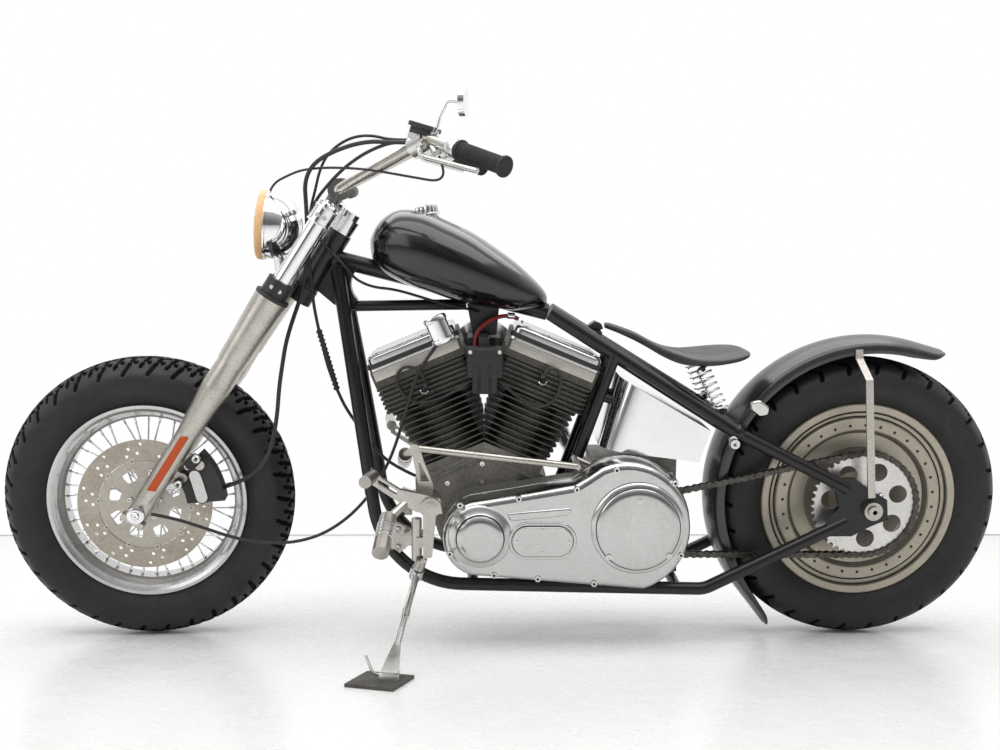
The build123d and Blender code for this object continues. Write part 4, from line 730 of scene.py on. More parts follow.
def build_rear_wheel():
    """Toothed sprocket, rings and rivets of the disc wheel, with painted shade in its grooves and on its
    sunken web, and the brake rotor.
    """
    centre = (REAR_AXLE.x, REAR_AXLE.z)

    def wheel_ring(name, profile, material):
        """The same ring on both faces of the wheel."""
        mesh = moved(mirrored_pair(revolved(profile, 120)), REAR_AXLE)
        put(name, mesh, material, "rear_wheel")

    holes = [ring(x, z, 20, 32) for x, z in spots_round(centre, 78, 7, 8.1)]
    sprocket = plate(sprocket_outline(centre), 81.4, 86.6, 0.5, [ring(*centre, 24, 32), *holes])
    put("toothed_sprocket", sprocket, sprocket_alloy, "rear_wheel", ["rear_sprocket"])
    hub = revolved([(12.9, 90), (30, 90), (32, 88), (32, 80), (12.9, 80)], 40)
    put("rear_hub_face", moved(hub, REAR_AXLE), machined_alloy, "rear_wheel")
    fixings = bolts(spots_round(centre, 42, 5, 8), 87.4, 6.5, 5)
    put("sprocket_bolts", fixings, dull_chrome, "rear_wheel")
    thick = 1.5
    # dark rings of painted shade where the disc wheel has its grooves
    for name, radius, y in (("wheel_groove_outer", 200, 43.5), ("wheel_groove_inner", 190, 38.6)):
        wheel_ring(name, [(radius - thick, y - 2), (radius - thick, y), (radius, y + 1), (radius + thick, y),
                          (radius + thick, y - 2)], painted_shade_and_dark_parts)
    heads = mirrored_pair(bolts(spots_round(centre, 171, 31), 43, 3.6, 2.0, hex_bolt))
    put("wheel_rivets", heads, painted_shade_and_dark_parts, "rear_wheel")
    wheel_ring("wheel_band", [(161, 43.1), (162, 44), (184, 44), (185, 43.1)], wheel_paint)
    # thin sheet laid over the sunken web in a shaded copy of the wheel paint: painted shade
    web = [(64, 30.4), (150, 30.4), (157, 36), (158, 40), (157, 40), (150, 31.4), (64, 31.4)]
    wheel_ring("wheel_web", web, web_painted_shade)
    slots = [ring(x, z, 3.5, 12) for x, z in spots_round(centre, 116, 16)]
    vents = [ring(x, z, 15, 24) for x, z in spots_round(centre, 78, 8)]
    rotor = plate(ring(*centre, ROTOR_R, 120), -86, -80, 0.5, [ring(*centre, 13, 24), *vents, *slots])
    put("rear_rotor", rotor, rotor_steel, "rear_wheel", ["rear_brake_disc"])


# ---- chain ----
def chain_loop():
    """Middles of the rollers in order: seated on the rear sprocket, then evenly along the rest."""
    axle = (REAR_AXLE.x, REAR_AXLE.z)
    straight = sqrt(CHAIN_SPAN ** 2 - (SPROCKET_REAR - SPROCKET_FRONT) ** 2)
    tilt = atan2(straight, SPROCKET_REAR - SPROCKET_FRONT)
    step = 2 * pi / REAR_TEETH
    seated = int((pi - tilt) / step)

    def on_rear(side):
        return polar(axle, SPROCKET_REAR, degrees(CHAIN_BASE + pi - side))

    spots = [on_rear(index * step) for index in range(-seated, seated + 1)]
    lead = (pi - tilt - seated * step) * SPROCKET_REAR
    rest = 2 * lead + 2 * straight + 2 * tilt * SPROCKET_FRONT
    count = round(rest / PITCH)
    if (count + 2 * seated) % 2:
        count += 1
    for index in range(1, count):
        run = rest * index / count
        if run < lead:
            spots.append(on_rear(seated * step + run / SPROCKET_REAR))
        elif run > rest - lead:
            spots.append(on_rear(-seated * step + -(rest - run) / SPROCKET_REAR))
        elif run < lead + straight:
            spots.append(off_circle(*axle, SPROCKET_REAR, CHAIN_BASE + tilt, -(run - lead)))
        elif run < rest - lead - straight:
            angle = CHAIN_BASE + tilt - (run - lead - straight) / SPROCKET_FRONT
            spots.append(polar(OUTPUT, SPROCKET_FRONT, degrees(angle)))
        else:
            spots.append(off_circle(*axle, SPROCKET_REAR, CHAIN_BASE - tilt, rest - lead - run))
    return [Vector((x, 0, z)) for x, z in spots]


def off_circle(x, z, radius, angle, run):
    """Point at a distance along the tangent that leaves a circle at an angle."""
    return x + radius * cos(angle) - run * sin(angle), z + radius * sin(angle) + run * cos(angle)


def build_chain():
    """Link plates, inner and outer by turns, and the rollers on their pins."""
    spots = chain_loop()
    side = [(-7.1, 0), (-6.1, -3.6), (-3.5, -6.1), (0, -7.1), (4, -5.9), (PITCH / 2, -4.9), (PITCH - 4, -5.9),
            (PITCH, -7.1), (PITCH + 3.5, -6.1), (PITCH + 6.1, -3.6), (PITCH + 7.1, 0), (PITCH + 6.1, 3.6),
            (PITCH + 3.5, 6.1), (PITCH, 7.1), (PITCH - 4, 5.9), (PITCH / 2, 4.9), (4, 5.9), (0, 7.1),
            (-3.5, 6.1), (-6.1, 3.6)]
    link_places, pin_places = [], []
    for index, spot in enumerate(spots):
        ahead = spots[(index + 1) % len(spots)] - spot
        turn = Matrix.Rotation(-atan2(ahead.z, ahead.x), 4, "Y")
        offset = INNER_LINK if index % 2 else OUTER_LINK
        for y in (-offset, offset):
            link_places.append(Matrix.Translation((spot.x, CHAIN_Y + y, spot.z)) @ turn)
        pin_places.append(Matrix.Translation((spot.x, CHAIN_Y, spot.z)))
    roller = revolved([(0, -8.9), (2.6, -8.9), (2.6, -4.0), (5.0, -4.0), (5.0, 4.0), (2.6, 4.0), (2.6, 8.9),
                       (0, 8.9)], 12)
    links = copies(plate(side, -0.9, 0.9, 0.3), link_places)
    put("chain_links", links, chain_steel, "frame", ["chain"])
    put("chain_pins", copies(roller, pin_places), chain_steel, "frame")


# ---- engine ----
NOSE_X = 1061.0
PEG_TIP = (NOSE_X - 11, 380, 307)
PEG_R = 17.0
DRUM = (NOSE_X - 105.0, 367.0)
CRANK = (846.0, 285.0)
PULLEY_AT, CLUTCH_AT, OVAL_AT = (855, 283), (522, 303), (723, 275)  # lids on the primary cover
COVER_SCREW_Y = 197
TILT = radians(22.5)


def cylinder_matrix(side, distance):
    """Frame across a cylinder: local x forward, y to the left and z up the cylinder."""
    angle = TILT * side
    across = Vector((cos(angle), 0, -sin(angle)))
    up = Vector((sin(angle), 0, cos(angle)))
    return axes(across, (0, 1, 0), up, Vector((CRANK[0], 0, CRANK[1])) + up * distance)


def slab(half_x, half_y, height, corner, edge):
    """Rounded box standing on z = 0, its upper edge rounded, as a mesh."""
    corners = [(-half_x, -half_y), (half_x, -half_y), (half_x, half_y), (-half_x, half_y)]
    outline = rounded(corners, corner, 6)
    levels = [(0, 0.0), (height - edge, 0.0)]
    for a in (22, 45, 67, 90):
        levels.append((height - edge + edge * sin(radians(a)), edge * (1 - cos(radians(a)))))
    points = []
    for z, inset in levels:
        shrink_x, shrink_y = (half_x - inset) / half_x, (half_y - inset) / half_y
        points += [(x * shrink_x, y * shrink_y, z) for x, y in outline]
    return lofted(points, len(outline))


def build_rocker_boxes():
    """Covers, bands and bolts over each head, and the breather can on the front one."""
    covers, bands, fittings, heads = [], [], [], []
    upright = Matrix.Rotation(radians(90), 4, "X")
    stack = (  # what each slab belongs to, its sizes and the height of its foot up the cylinder
        (fittings, (107, 75, 7, 20, 1.5), 397), (bands, (107.5, 75.5, 9.5, 20, 1.5), 403.5),
        (covers, (102, 71, 16.5, 20, 7), 412.5), (covers, (84, 54, 3.6, 16, 2.6), 428.4),
        (heads, (104.4, 80.4, 21, 9, 1), 375.5))
    for side in (1, -1):
        for group, size, foot in stack:
            group.append(moved(slab(*size), cylinder_matrix(side, foot)))
        for x in (-88, -30, 30, 88):
            for y in (-62, 62):
                bolt = moved(cap_bolt(4.5, 4.4), upright)
                spot = Matrix.Translation((x * 0.94, y * 0.9, 0))
                fittings.append(moved(bolt, cylinder_matrix(side, 427) @ spot))
    put("rocker_covers", covers, polished_cover, "frame", ["rocker_boxes"])
    put("rocker_bands", bands, black_casting, "frame")
    put("rocker_seats", fittings, dull_chrome, "frame")
    put("head_bands", heads, satin_alloy, "frame")
    can = revolved([(0, 0), (20, 0), (22, 2), (22, 8), (20.5, 9), (20.5, 40), (22, 41), (22, 47), (20, 49.5),
                    (0, 49.5)], 36)
    at = cylinder_matrix(1, 405.5) @ Matrix.Translation((-72, 92, -4)) @ upright
    for scale, way in ((1.18, (1, 0, 0)), (0.82, (0, 0, 1)), (1.2, (0, 1, 0))):
        at = at @ Matrix.Scale(scale, 4, way)
    put("breather_can", moved(can, at), bright_chrome, "frame")


def build_plugs():
    """Spark plugs and their boots on the left of each head, with the leads to the coil."""
    boots, metal = [], []
    for x, z, lean_x in ((978, 572, -0.25), (719, 592, 0.1)):
        root = Vector((x, 78, z))
        out = Vector((lean_x * 0.4, 0.86, 0.5)).normalized()
        metal.append(bar(root, root + out * 22, [(0, 0), (9, 0), (9, 8), (6, 9), (6, 20), (0, 20)], 6))
        boots.append(bar(root + out * 16, root + out * 44,
                         [(7.5, 0), (8, 2), (7, 10), (6, 24), (4.5, 28), (0, 28)], 20))
    put("plug_boots", boots, black_moulding, "frame")
    put("plug_bodies", metal, bright_chrome, "frame")
    leads = [
        [(974, 101, 593), (978, 110, 618), (998, 112, 634), (1026, 107, 630), (1038, 101, 604),
         (1024, 98, 572), (990, 98, 548), (940, 102, 562), (900, 108, 586), (880, 112, 600)],
        [(721, 112, 612), (712, 112, 630), (691, 112, 630), (680, 107, 604), (690, 100, 562), (722, 98, 540),
         (768, 104, 562), (796, 110, 586), (812, 112, 600)],
    ]
    meshes = [curve_mesh([lead], "NURBS", radius=3.6, sides=5) for lead in leads]
    put("plug_leads", meshes, cable_sheath, "frame")


def build_coil():
    """Coil cover: a moulded box with a yoke, its screws and the feet under it."""
    blocks = [((39, 20, 64, 12, 6), (846, 116, 613)), ((27, 18, 36, 6, 2), (846, 116, 578))]
    blocks += [((wide, 3, 58, 2, 1.4), (x, 134.6, 584)) for x, wide in ((826, 6), (866, 6), (846, 9))]
    blocks.append(((11, 50, 30, 4, 3), (847, 55, 665)))
    parts = [moved(slab(*size), at) for size, at in blocks]
    put("coil_box", parts, black_moulding, "frame", ["coil_cover"])
    screws = bolts([(815, 668), (877, 668)], 136, 4.2, 2.5)
    put("coil_screws", screws, dull_chrome, "frame")
    hose = [(867, 64, 664), (868, 52, 690), (850, 44, 716), (822, 40, 733), (788, 34, 737), (772, 30, 728)]
    red = curve_mesh([hose], "NURBS", radius=4.6, sides=5)
    put("red_hose", red, red_sheath, "frame")
    ends = [round_bar((868, 66, 656), (867, 63, 670), 7, 1.2), round_bar((796, 35, 736), (780, 32, 735), 7)]
    put("hose_ends", ends, bright_chrome, "frame")


def primary_outline():
    """Outline of the primary cover: three arcs and the straights between them."""
    steps = 14  # in each arc

    def arc(a, m, b):
        ax, az = a
        bx, bz = b
        mx, mz = m
        d = 2 * (ax * (mz - bz) + mx * (bz - az) + bx * (az - mz))
        ux = ((ax**2 + az**2) * (mz - bz) + (mx**2 + mz**2) * (bz - az) + (bx**2 + bz**2) * (az - mz)) / d
        uz = ((ax**2 + az**2) * (bx - mx) + (mx**2 + mz**2) * (ax - bx) + (bx**2 + bz**2) * (mx - ax)) / d
        radius = hypot(ax - ux, az - uz)
        t0, t1, t2 = (atan2(p[1] - uz, p[0] - ux) for p in (a, m, b))
        while t1 < t0:
            t1 += 2 * pi
        while t2 < t1:
            t2 += 2 * pi
        if t2 - t0 > 2 * pi:
            t2 -= 2 * pi
        return [(ux + radius * cos(t0 + (t2 - t0) * k / steps), uz + radius * sin(t0 + (t2 - t0) * k / steps))
                for k in range(steps + 1)]
    return (arc((876, 196), (933, 290), (877, 357)) + [(800, 370), (655, 395), (626, 414)]
            + arc((600, 432), (455, 410), (409, 318))
            + arc((409, 318), (430, 221), (504, 165))[1:] + [(690, 180)])


def slot_outline(length, width):
    """Long round-ended outline about the middle of the cover's oval lid."""
    x, z = OVAL_AT
    radius = width / 2
    reach = length / 2 - radius
    return [(x + side * reach + radius * cos(radians(a)), z + radius * sin(radians(a)))
            for side in (1, -1) for a in [-90 * side + 180 * k / 12 for k in range(13)]]


def build_primary():
    """Primary cover with its lids, painted shade in the gaps round them, and its bosses and screws."""
    outline = primary_outline()

    def disc(centre, profile, count=96):
        return moved(revolved(profile, count), (centre[0], 0, centre[1]))

    parts = [
        plate(outline, 122.4, 199.5, 15), plate(outline, 122.2, 131, 1.2),
        disc(PULLEY_AT, [(0, 222), (34, 222), (44, 220), (49, 216), (50, 210), (54, 206), (62, 202),
                         (68, 199), (70, 196), (0, 196)], 72),
        plate(slot_outline(146, 82), 196, 203, 3), plate(slot_outline(129, 65), 200, 208.4, 2),
        disc(CLUTCH_AT, [(0, 196), (100, 196), (99, 204), (95, 208), (90, 209.5), (0, 209.5)]),
        disc(CLUTCH_AT, [(0, 217.6), (72, 217.2), (84, 215.5), (88, 212), (88.5, 208), (0, 208)]),
        plate(rounded([(800, 336), (660, 348), (668, 330), (792, 318)], 8), 196, 202, 4)]
    put("primary_shell", parts, polished_cover, "frame", ["primary_cover"], smooth=35)
    # painted shade: thin dark rings and a slot outline in the gaps round the lids
    gaps = []
    for radius, y, centre in ((89.4, 209.9, CLUTCH_AT), (50.8, 210.5, PULLEY_AT)):
        gaps.append(disc(centre, [(radius - 0.8, y - 1.5), (radius - 0.8, y), (radius + 0.8, y),
                                  (radius + 0.8, y - 1.5)]))
    gaps.append(plate(slot_outline(133, 69), 202.5, 203.6, 0.3, [slot_outline(130, 66)]))
    put("primary_gaps", gaps, painted_shade_and_dark_parts, "frame")
    rim = [(897, 352), (774, 366), (652, 386), (569, 428), (919, 246), (825, 199), (732, 191), (612, 180),
           (445, 400), (428, 243)]
    put("primary_bosses", bolts(rim, 131, 9, 66, hex_bolt), polished_cover, "frame")
    # painted shade: dark hexagons at the bottom of the screws' sockets
    recesses = copies(revolved([(3.1, 0), (3.1, 0.4), (0, 0.4)], 6),
                      [Matrix.Translation((x, COVER_SCREW_Y + 2.2, z)) for x, z in rim])
    put("primary_recesses", recesses, painted_shade_and_dark_parts, "frame")
    lids = [(584, 245), (521, 366), (456, 247)]
    small = [(777, 275), (668, 275), (723, 300), (723, 251)]
    screws = [bolts(rim, COVER_SCREW_Y, 6.5, 5.5), bolts(lids, 215.8, 6, 2.2), bolts(small, 208, 3.4, 1.6)]
    put("primary_screws", screws, dull_chrome, "frame")


def build_case_details():
    """Ribs and screws on the left of the engine case."""
    x, z = CRANK
    ribs = []
    for side in (1, -1):
        corners = ((6, 148), (124, 86), (122, 80), (6, 140))
        ribs.append(plate([(x + side * out, z + up) for out, up in corners], 60, 66, 1))
    put("case_ribs", ribs, cast_case, "frame")
    screws = bolts([(850, 410), (850, 369), (927, 366)], 62, 6, 6)
    put("case_screws", screws, dull_chrome, "frame")


# ---- tank, seat and fender ----
TANK_POWER = 0.90
TANK_LINE = [  # x, top z, bottom z, half width
    (1096, 902, 874, 20), (1091, 914, 856, 40), (1080, 933, 838, 66), (1062, 950, 822, 86),
    (1036, 963, 809, 103), (1000, 964, 794, 117), (966, 957, 784, 124), (918, 937, 769, 125),
    (870, 914, 757, 122), (825, 885, 750, 110), (780, 853, 745, 92), (748, 825, 747, 70),
    (722, 799, 752, 46), (711, 785, 758, 26), (708, 778, 762, 16)]


def spine_height(x):
    """Height of the backbone tube's middle over a place along the machine."""
    return 741.0 + (x - 706.0) * (862.06 - 741.0) / (1196.04 - 706.0)


def oval(half, tall, angle, power_y, power_z):
    """Point of a squared-off oval at an angle: y and height over its middle."""
    c, s = cos(angle), sin(angle)
    return half * abs(c) ** power_y * (1 if c > 0 else -1), tall * abs(s) ** power_z * (1 if s > 0 else -1)


def build_tank():
    """Teardrop tank, with a channel for the backbone along its underside."""
    around = 56
    points = []
    for x, top, low, half in smooth_line(TANK_LINE, 4):
        middle, tall = (top + low) / 2, (top - low) / 2
        gap = min(19.4, half * 0.55)
        first = radians(-90) + gap / half
        row = []
        for k in range(around + 1):
            y, z = oval(half, tall, first + (2 * pi - 2 * gap / half) * k / around, TANK_POWER, TANK_POWER)
            row.append((x, y, middle + z))
        roof = min(max(spine_height(x) + 21, low + 2), top - 5)
        points += row + [(x, row[-1][1], roof), (x, row[0][1], roof)]
    mesh = lofted(points, around + 3)
    put("tank_shell", mesh, tank_paint, "frame", ["fuel_tank"], smooth=50)
    base, top = Vector((971.6, 0, 948)), Vector((976, 0, 975))
    cap = bar(base, top,
              [(29, 0), (29, 8), (27.5, 9), (25, 9.5), (25, 22), (24, 24.5), (18, 26.5), (0, 27)], 60)
    upright = along(base, top)
    for vertex in cap.vertices:
        spot = upright.inverted() @ vertex.co
        if 9.4 < spot.y < 23 and hypot(spot.x, spot.z) > 24.5:
            swell = 1 + 0.05 * cos(atan2(spot.z, spot.x) * 20)
            vertex.co = upright @ Vector((spot.x * swell, spot.y, spot.z * swell))
    put("filler_cap", cap, bright_chrome, "frame", ["fuel_cap"])


SEAT_LINE = [  # x, top z, bottom z, half width, dish
    (577, 717, 706, 15, 0), (568, 717, 703, 23, 0), (545, 710, 694, 27, 0), (509, 697, 678, 30, 1),
    (478, 681, 662, 36, 2), (448, 668, 646, 47, 4), (415, 658, 634, 77, 7), (385, 652, 631, 107, 9),
    (350, 652, 633, 124, 9), (320, 655, 637, 124, 8), (292, 659, 641, 109, 6), (272, 661, 646, 86, 3),
    (262, 660, 650, 60, 1), (258, 658, 653, 34, 0)]


def build_seat():
    """Thin dished saddle with a rolled edge."""
    around = 56
    points = []
    for x, top, low, half, dish in smooth_line(SEAT_LINE, 5):
        for k in range(around):
            y, z = oval(half, (top - low) / 2, 2 * pi * k / around, 0.75, 0.62)
            share = min(abs(y) / max(half, 1), 1)
            points.append((x, y, (top + low) / 2 + z + dish * (share ** 2.2 - 0.62)))
    seat = put("saddle", lofted(points, around), seat_hide, "frame", ["seat"], smooth=60)


def helix(start, end, radius, turns, wire):
    """Coil spring between two points."""
    frame_at = along(start, end)
    length = (Vector(end) - Vector(start)).length
    points = []
    steps = int(turns * 16)
    for k in range(steps + 1):
        share = k / steps
        angle = 2 * pi * turns * share
        spot = Vector((radius * cos(angle), wire + (length - 2 * wire) * share, radius * sin(angle)))
        points.append(frame_at @ spot)
    return curve_mesh([[tuple(p) for p in points]], "POLY", radius=wire, sides=3)


def build_springs():
    """Coil springs under the saddle and their seats."""
    coils, posts = [], []
    for side in (1, -1):
        foot, head = (327, side * 93, 536), (373, side * 88, 630)
        coils.append(helix(foot, head, 14.5, 7, 2.6))
        posts.append(bar(foot, head, [(0, -6), (9, -6), (11, 0), (5, 3), (5, 12), (0, 13)], 20))
        posts.append(bar(head, foot, [(0, -2), (10, -2), (11, 2), (5, 3), (5, 8), (0, 9)], 20))
    put("saddle_springs", coils, bright_chrome, "frame", ["seat_springs"])
    put("spring_seats", posts, black_casting, "frame")


FENDER_CENTRE = (REAR_AXLE.x - 20, REAR_AXLE.z + 8)
FENDER_CREST, FENDER_HALF = 362.0, 70.6
FENDER_FROM, FENDER_TO = -38.0, 106.0
FENDER_TOE, FENDER_TAIL = 107.6, 61.6


def fender_section(skirt, half):
    """Corners across the guard: y and height against the crest, outside and back along the inside."""
    drop = 16 * (half / FENDER_HALF) ** 2
    outside = [(half - 1.0, -drop - skirt), (half, -drop - skirt + 1.2),
               (half - 0.6, -drop - skirt * 0.5 - 1),
               (half - 1.4, -drop + 0.6), (half - 4.5, -drop + 3.4)]
    crown = [(half * k / 8 * 0.9, -drop * (k / 8 * 0.9) ** 2) for k in range(7, -8, -1)]
    outside += [(y, z) for y, z in crown]
    outside += [(-y, z) for y, z in outside[4::-1]]
    inside = [(y * (1 - 2.6 / half), z - (2.4 if abs(y) < half - 4 else 0.4)) for y, z in outside[::-1]]
    return outside + inside


def build_fender():
    """Guard over the rear tyre, its skirts drawn in towards rounded ends."""
    toe, tail = radians(FENDER_FROM), radians(FENDER_TO)
    arc = (tail - toe) * FENDER_CREST
    total = FENDER_TOE + arc + FENDER_TAIL

    def station(angle, past, run):
        """Crest point past the end of the arc, the way out there and the run from the toe."""
        out = Vector((cos(angle), 0, sin(angle)))
        way = Vector((-sin(angle), 0, cos(angle)))
        return Vector((FENDER_CENTRE[0], 0, FENDER_CENTRE[1])) + out * FENDER_CREST + way * past, out, run

    stations = [station(toe, -FENDER_TOE * (1 - k / 14), FENDER_TOE * k / 14) for k in range(14)]
    stations += [station(toe + (tail - toe) * k / 70, 0, FENDER_TOE + arc * k / 70) for k in range(70)]
    stations += [station(tail, FENDER_TAIL * k / 12, FENDER_TOE + arc + FENDER_TAIL * k / 12)
                 for k in range(13)]
    points = []
    for at, out, run in stations:
        left = total - run
        skirt = 18 * min(1, (run + 4) / 210, ((left + 2) / 80) ** 0.6)
        half = FENDER_HALF - 24 * max(0, 1 - min(run, left) / 36) ** 2
        points += [at + Vector((0, y, 0)) + out * z for y, z in fender_section(skirt, half)]
    mesh = lofted(points, len(points) // len(stations))
    put("fender_shell", mesh, fender_paint, "frame", ["rear_fender"], smooth=50)


def build_fender_details():
    """Brackets between the stays and the guard."""
    corners = [(268, 556), (246, 560), (226, 546), (228, 528), (246, 524), (264, 538)]
    tab = plate(rounded(corners, 9), 92, 104, 4)
    stud = bolts([(308, 478)], 122, 9, 8)
    eye = revolved([(4.5, -6), (10, -6), (11, -4), (11, 4), (10, 6), (4.5, 6)], 28, closed=True)
    put("fender_tab", tab, dull_chrome, "frame")
    put("stay_eyes", [stud, moved(eye, (306, 132, 470))], dull_chrome, "frame")


# ---- fork, lamp and bar ----
def build_fork_details():
    """Caps, rings and collars on the fork tubes, side reflectors, axle ends and clamp bolts."""
    parts, dark, lenses = [], [], []
    for side in (1, -1):
        tube_y = side * FORK_HALF
        parts.append(bar(fork_point(774, tube_y), fork_point(788, tube_y),
                         [(0, 0), (19, 0), (20.5, 1), (20.5, 6), (17, 8), (13, 8), (12, 13), (0, 13)], 40))
        for low in (735, 770):
            parts.append(bar(fork_point(low - 1.5, tube_y), fork_point(low + 2, tube_y),
                             [(20.6, 0), (26, 0), (26.6, 1), (26.6, 2.5), (26, 3.5), (20.6, 3.5)], 48))
        dark.append(bar(fork_point(548, tube_y), fork_point(556, tube_y),
                        [(20.6, 0), (37.4, 0), (37.8, 2), (37.8, 6), (37, 7.6), (20.6, 7.6)], 48))
        lens = curve_mesh([rounded([(9, 57), (8, 197), (-8.5, 204), (-8.5, 65)], 2.5)], flat=(6, 1.6))
        lenses.append(moved(lens, axes(FORK_AHEAD, FORK_UP, (0, 1, 0), fork_point(0, side * 139.4))))
        boss = fork_point(0, side * 147)
        out = Vector((0, side, 0))
        parts.append(bar(boss, boss + out * 6,
                         [(9, 0), (17.8, 0), (18.2, 1), (18.2, 4.5), (16, 6), (9, 6)], 36))
        parts.append(bar(boss - out * 4, boss + out * 9,
                         [(0, 0), (8.6, 0), (8.6, 12), (7.6, 13), (3, 13), (3, 9), (0, 9)], 6))
    put("fork_caps", parts, bright_chrome, "steering")
    put("fork_collars", dark, black_casting, "steering")
    put("fork_markers", lenses, marker_orange, "steering")
    pinch = []
    for along_fork, spots in ((752, (-20, 26)), (573, (-25, 29))):
        for side in (1, -1):
            for ahead in spots:
                at = fork_point(along_fork, side * 136, ahead * 0.35)
                pinch.append(bar(at, at + Vector((0, side * 8, 0)),
                                 [(0, 0), (5, 0), (5, 7), (4.3, 8), (0, 8)], 18))
    put("clamp_bolts", pinch, dull_chrome, "steering")


def build_axle_clamps():
    """Split clamp under each slider's foot, with its two studs."""
    blocks, studs = [], []
    for side in (1, -1):
        turn = axes(FORK_AHEAD, (0, 1, 0), -FORK_UP, fork_point(-12, side * 133))
        blocks.append(moved(slab(27, 12, 13, 4, 2), turn))
        for x in (-21, 21):
            for y in (-5, 5):
                studs.append(bar(turn @ Vector((x, y, 12)), turn @ Vector((x, y, 19)),
                                 [(0, 0), (4.6, 0), (4.6, 5), (2.4, 5.4), (2.4, 7), (0, 7)], 6))
    put("axle_clamps", blocks, satin_alloy, "steering")
    put("axle_studs", studs, dull_chrome, "steering")


def bean(line, wide):
    """Outline at one distance all round a line of (x, z) points."""
    def off(spot, angle):
        return spot.x + wide * cos(angle), spot.y + wide * sin(angle)

    left, right, turns = [], [], []
    last = len(line) - 1
    for index, spot in enumerate(line):
        ahead = line[min(index + 1, last)] - line[max(index - 1, 0)]
        turns.append(atan2(ahead.y, ahead.x))
        left.append(off(spot, turns[-1] + radians(90)))
        right.append(off(spot, turns[-1] + radians(-90)))
    far = [off(line[last], turns[last] + radians(90 - 22.5 * k)) for k in range(1, 8)]
    close = [off(line[0], turns[0] + radians(-90 - 22.5 * k)) for k in range(1, 8)]
    return left + far + right[::-1] + close


def build_caliper_details():
    """Polished pad cover with painted shade round its edge, pins and mounting bolts on the front caliper."""
    spots = [fork_point(up, 0, ahead) for up, ahead in ((121, -59), (112, -70), (101, -82), (87, -97))]
    line = smooth_line([(spot.x, spot.z) for spot in spots], 6)
    # painted shade: a dark outline under the polished cover's edge
    put("caliper_groove", plate(bean(line, 15), 86, 88.6, 0.8), painted_shade_and_dark_parts, "steering")
    put("caliper_plate", plate(bean(line, 12.5), 87.4, 91, 0.8), polished_cover, "steering")
    rings, pins = [], []
    for x, y, z, radius in ((1494, 88, 412, 8), (1470, 118, 436, 9), (1511, 118, 379, 9)):
        rings.append(bar((x, y - 4, z), (x, y + 7, z), [(0, 0), (radius, 0), (radius, 10), (radius - 1, 11),
                                                        (radius * 0.62, 11), (radius * 0.55, 8), (0, 8)], 24))
        pins.append(bar((x, y + 3, z), (x, y + 5.4, z),
                        [(0, 0), (radius * 0.4, 0), (radius * 0.4, 2.4), (0, 2.4)], 6))
    put("caliper_bolts", rings, dull_chrome, "steering")
    put("caliper_pins", pins, painted_shade_and_dark_parts, "steering")
    lugs = [plate(rounded([(1460, 428), (1478, 444), (1500, 424), (1484, 404)], 7), 90, 114, 2),
            plate(rounded([(1500, 372), (1512, 392), (1524, 382), (1518, 366)], 6), 90, 114, 2)]
    put("caliper_lugs", lugs, black_casting, "steering")


LAMP_CENTRE = fork_point(659, 0, 100)
LAMP_AXIS = Vector((0.996, 0, 0.089)).normalized()


def build_headlamp():
    """Fluted amber glass and the rim round it."""
    glass = revolved([(0, 22), (20, 21.4), (40, 19.6), (56, 17.2), (68, 14.6), (73.6, 12.6), (75.4, 9.5),
                      (75.8, 4), (75.6, 0), (74.6, -3), (74.0, -3)], 96)
    for vertex in glass.vertices:
        if vertex.co.y > 14:
            vertex.co.y -= 0.4 + 0.4 * cos(vertex.co.x * 0.9)
    trim = revolved([(73.9, -8), (75.4, -7.5), (75.8, -5.5), (75.2, -3.6), (74, -3.6)], 96)
    facing = along(LAMP_CENTRE, LAMP_CENTRE + LAMP_AXIS)
    put("lamp_glass", moved(glass, facing), lamp_amber, "steering", ["headlamp_lens"],
        smooth=60)
    put("lamp_trim", moved(trim, facing), bright_chrome, "steering")


BAR_CORNER = fork_point(1003, 250, -102)
BAR_TIP = fork_point(1032, 395, -243)
BAR_INWARD = (BAR_CORNER - BAR_TIP).normalized()


def build_grips():
    """Ribbed grips with a flange at the inner end."""
    profile = [(0, -9), (18, -9), (20.4, -7.5), (20.9, -4), (20.2, -1.5), (17, 0)]
    for rib in range(26):
        start = 3.0 + rib * 4.0
        profile += [(16.0, start), (17.0, start + 0.8), (17.0, start + 2.6), (16.0, start + 3.4)]
    profile += [(17, 108), (20, 109.5), (20.8, 112), (20.2, 115.4), (11.3, 116)]
    sleeve = bar(BAR_TIP, BAR_TIP + BAR_INWARD, profile, 40)
    put("ribbed_grips", mirrored_pair(sleeve), grip_rubber, "steering", ["grips"], smooth=30)


def build_bar_details():
    """Switch drums, fluid pot lids and the mirror's glass."""
    start = BAR_TIP + BAR_INWARD * 118
    drum = bar(start, start + BAR_INWARD * 24,
               [(11.3, 0), (18.6, 0), (19.4, 1.5), (19.4, 22), (18, 24), (11.3, 24)], 36)
    put("switch_drums", mirrored_pair(drum), dull_chrome, "steering")
    lid = join_meshes([slab(28.8, 21.8, 9, 6, 2), moved(slab(23.6, 17.6, 14, 4, 1), (0, 0, -13))])
    x_dir = Vector((-50, 20, -15)).normalized()
    z_dir = Vector((-0.28, 0, 0.96))
    z_dir = (z_dir - x_dir * z_dir.dot(x_dir)).normalized()
    lid = moved(lid, axes(x_dir, z_dir.cross(x_dir), z_dir, BAR_CORNER + Vector((9, -15, 18))))
    put("pot_lids", mirrored_pair(lid), black_casting, "steering")
    glass_at = BAR_CORNER + Vector((-15, 4, 16.3)) + Vector((-22, 2, 56)) + Vector((-30, 6, -2))
    facing = Vector((-0.97, 0.25, 0)).normalized()
    face = bar(glass_at + facing * 6.3, glass_at + facing * 7.3, [(0, 0), (26.5, 0), (27.5, -0.8)], 48)
    put("mirror_glass", face, mirror_face, "steering")


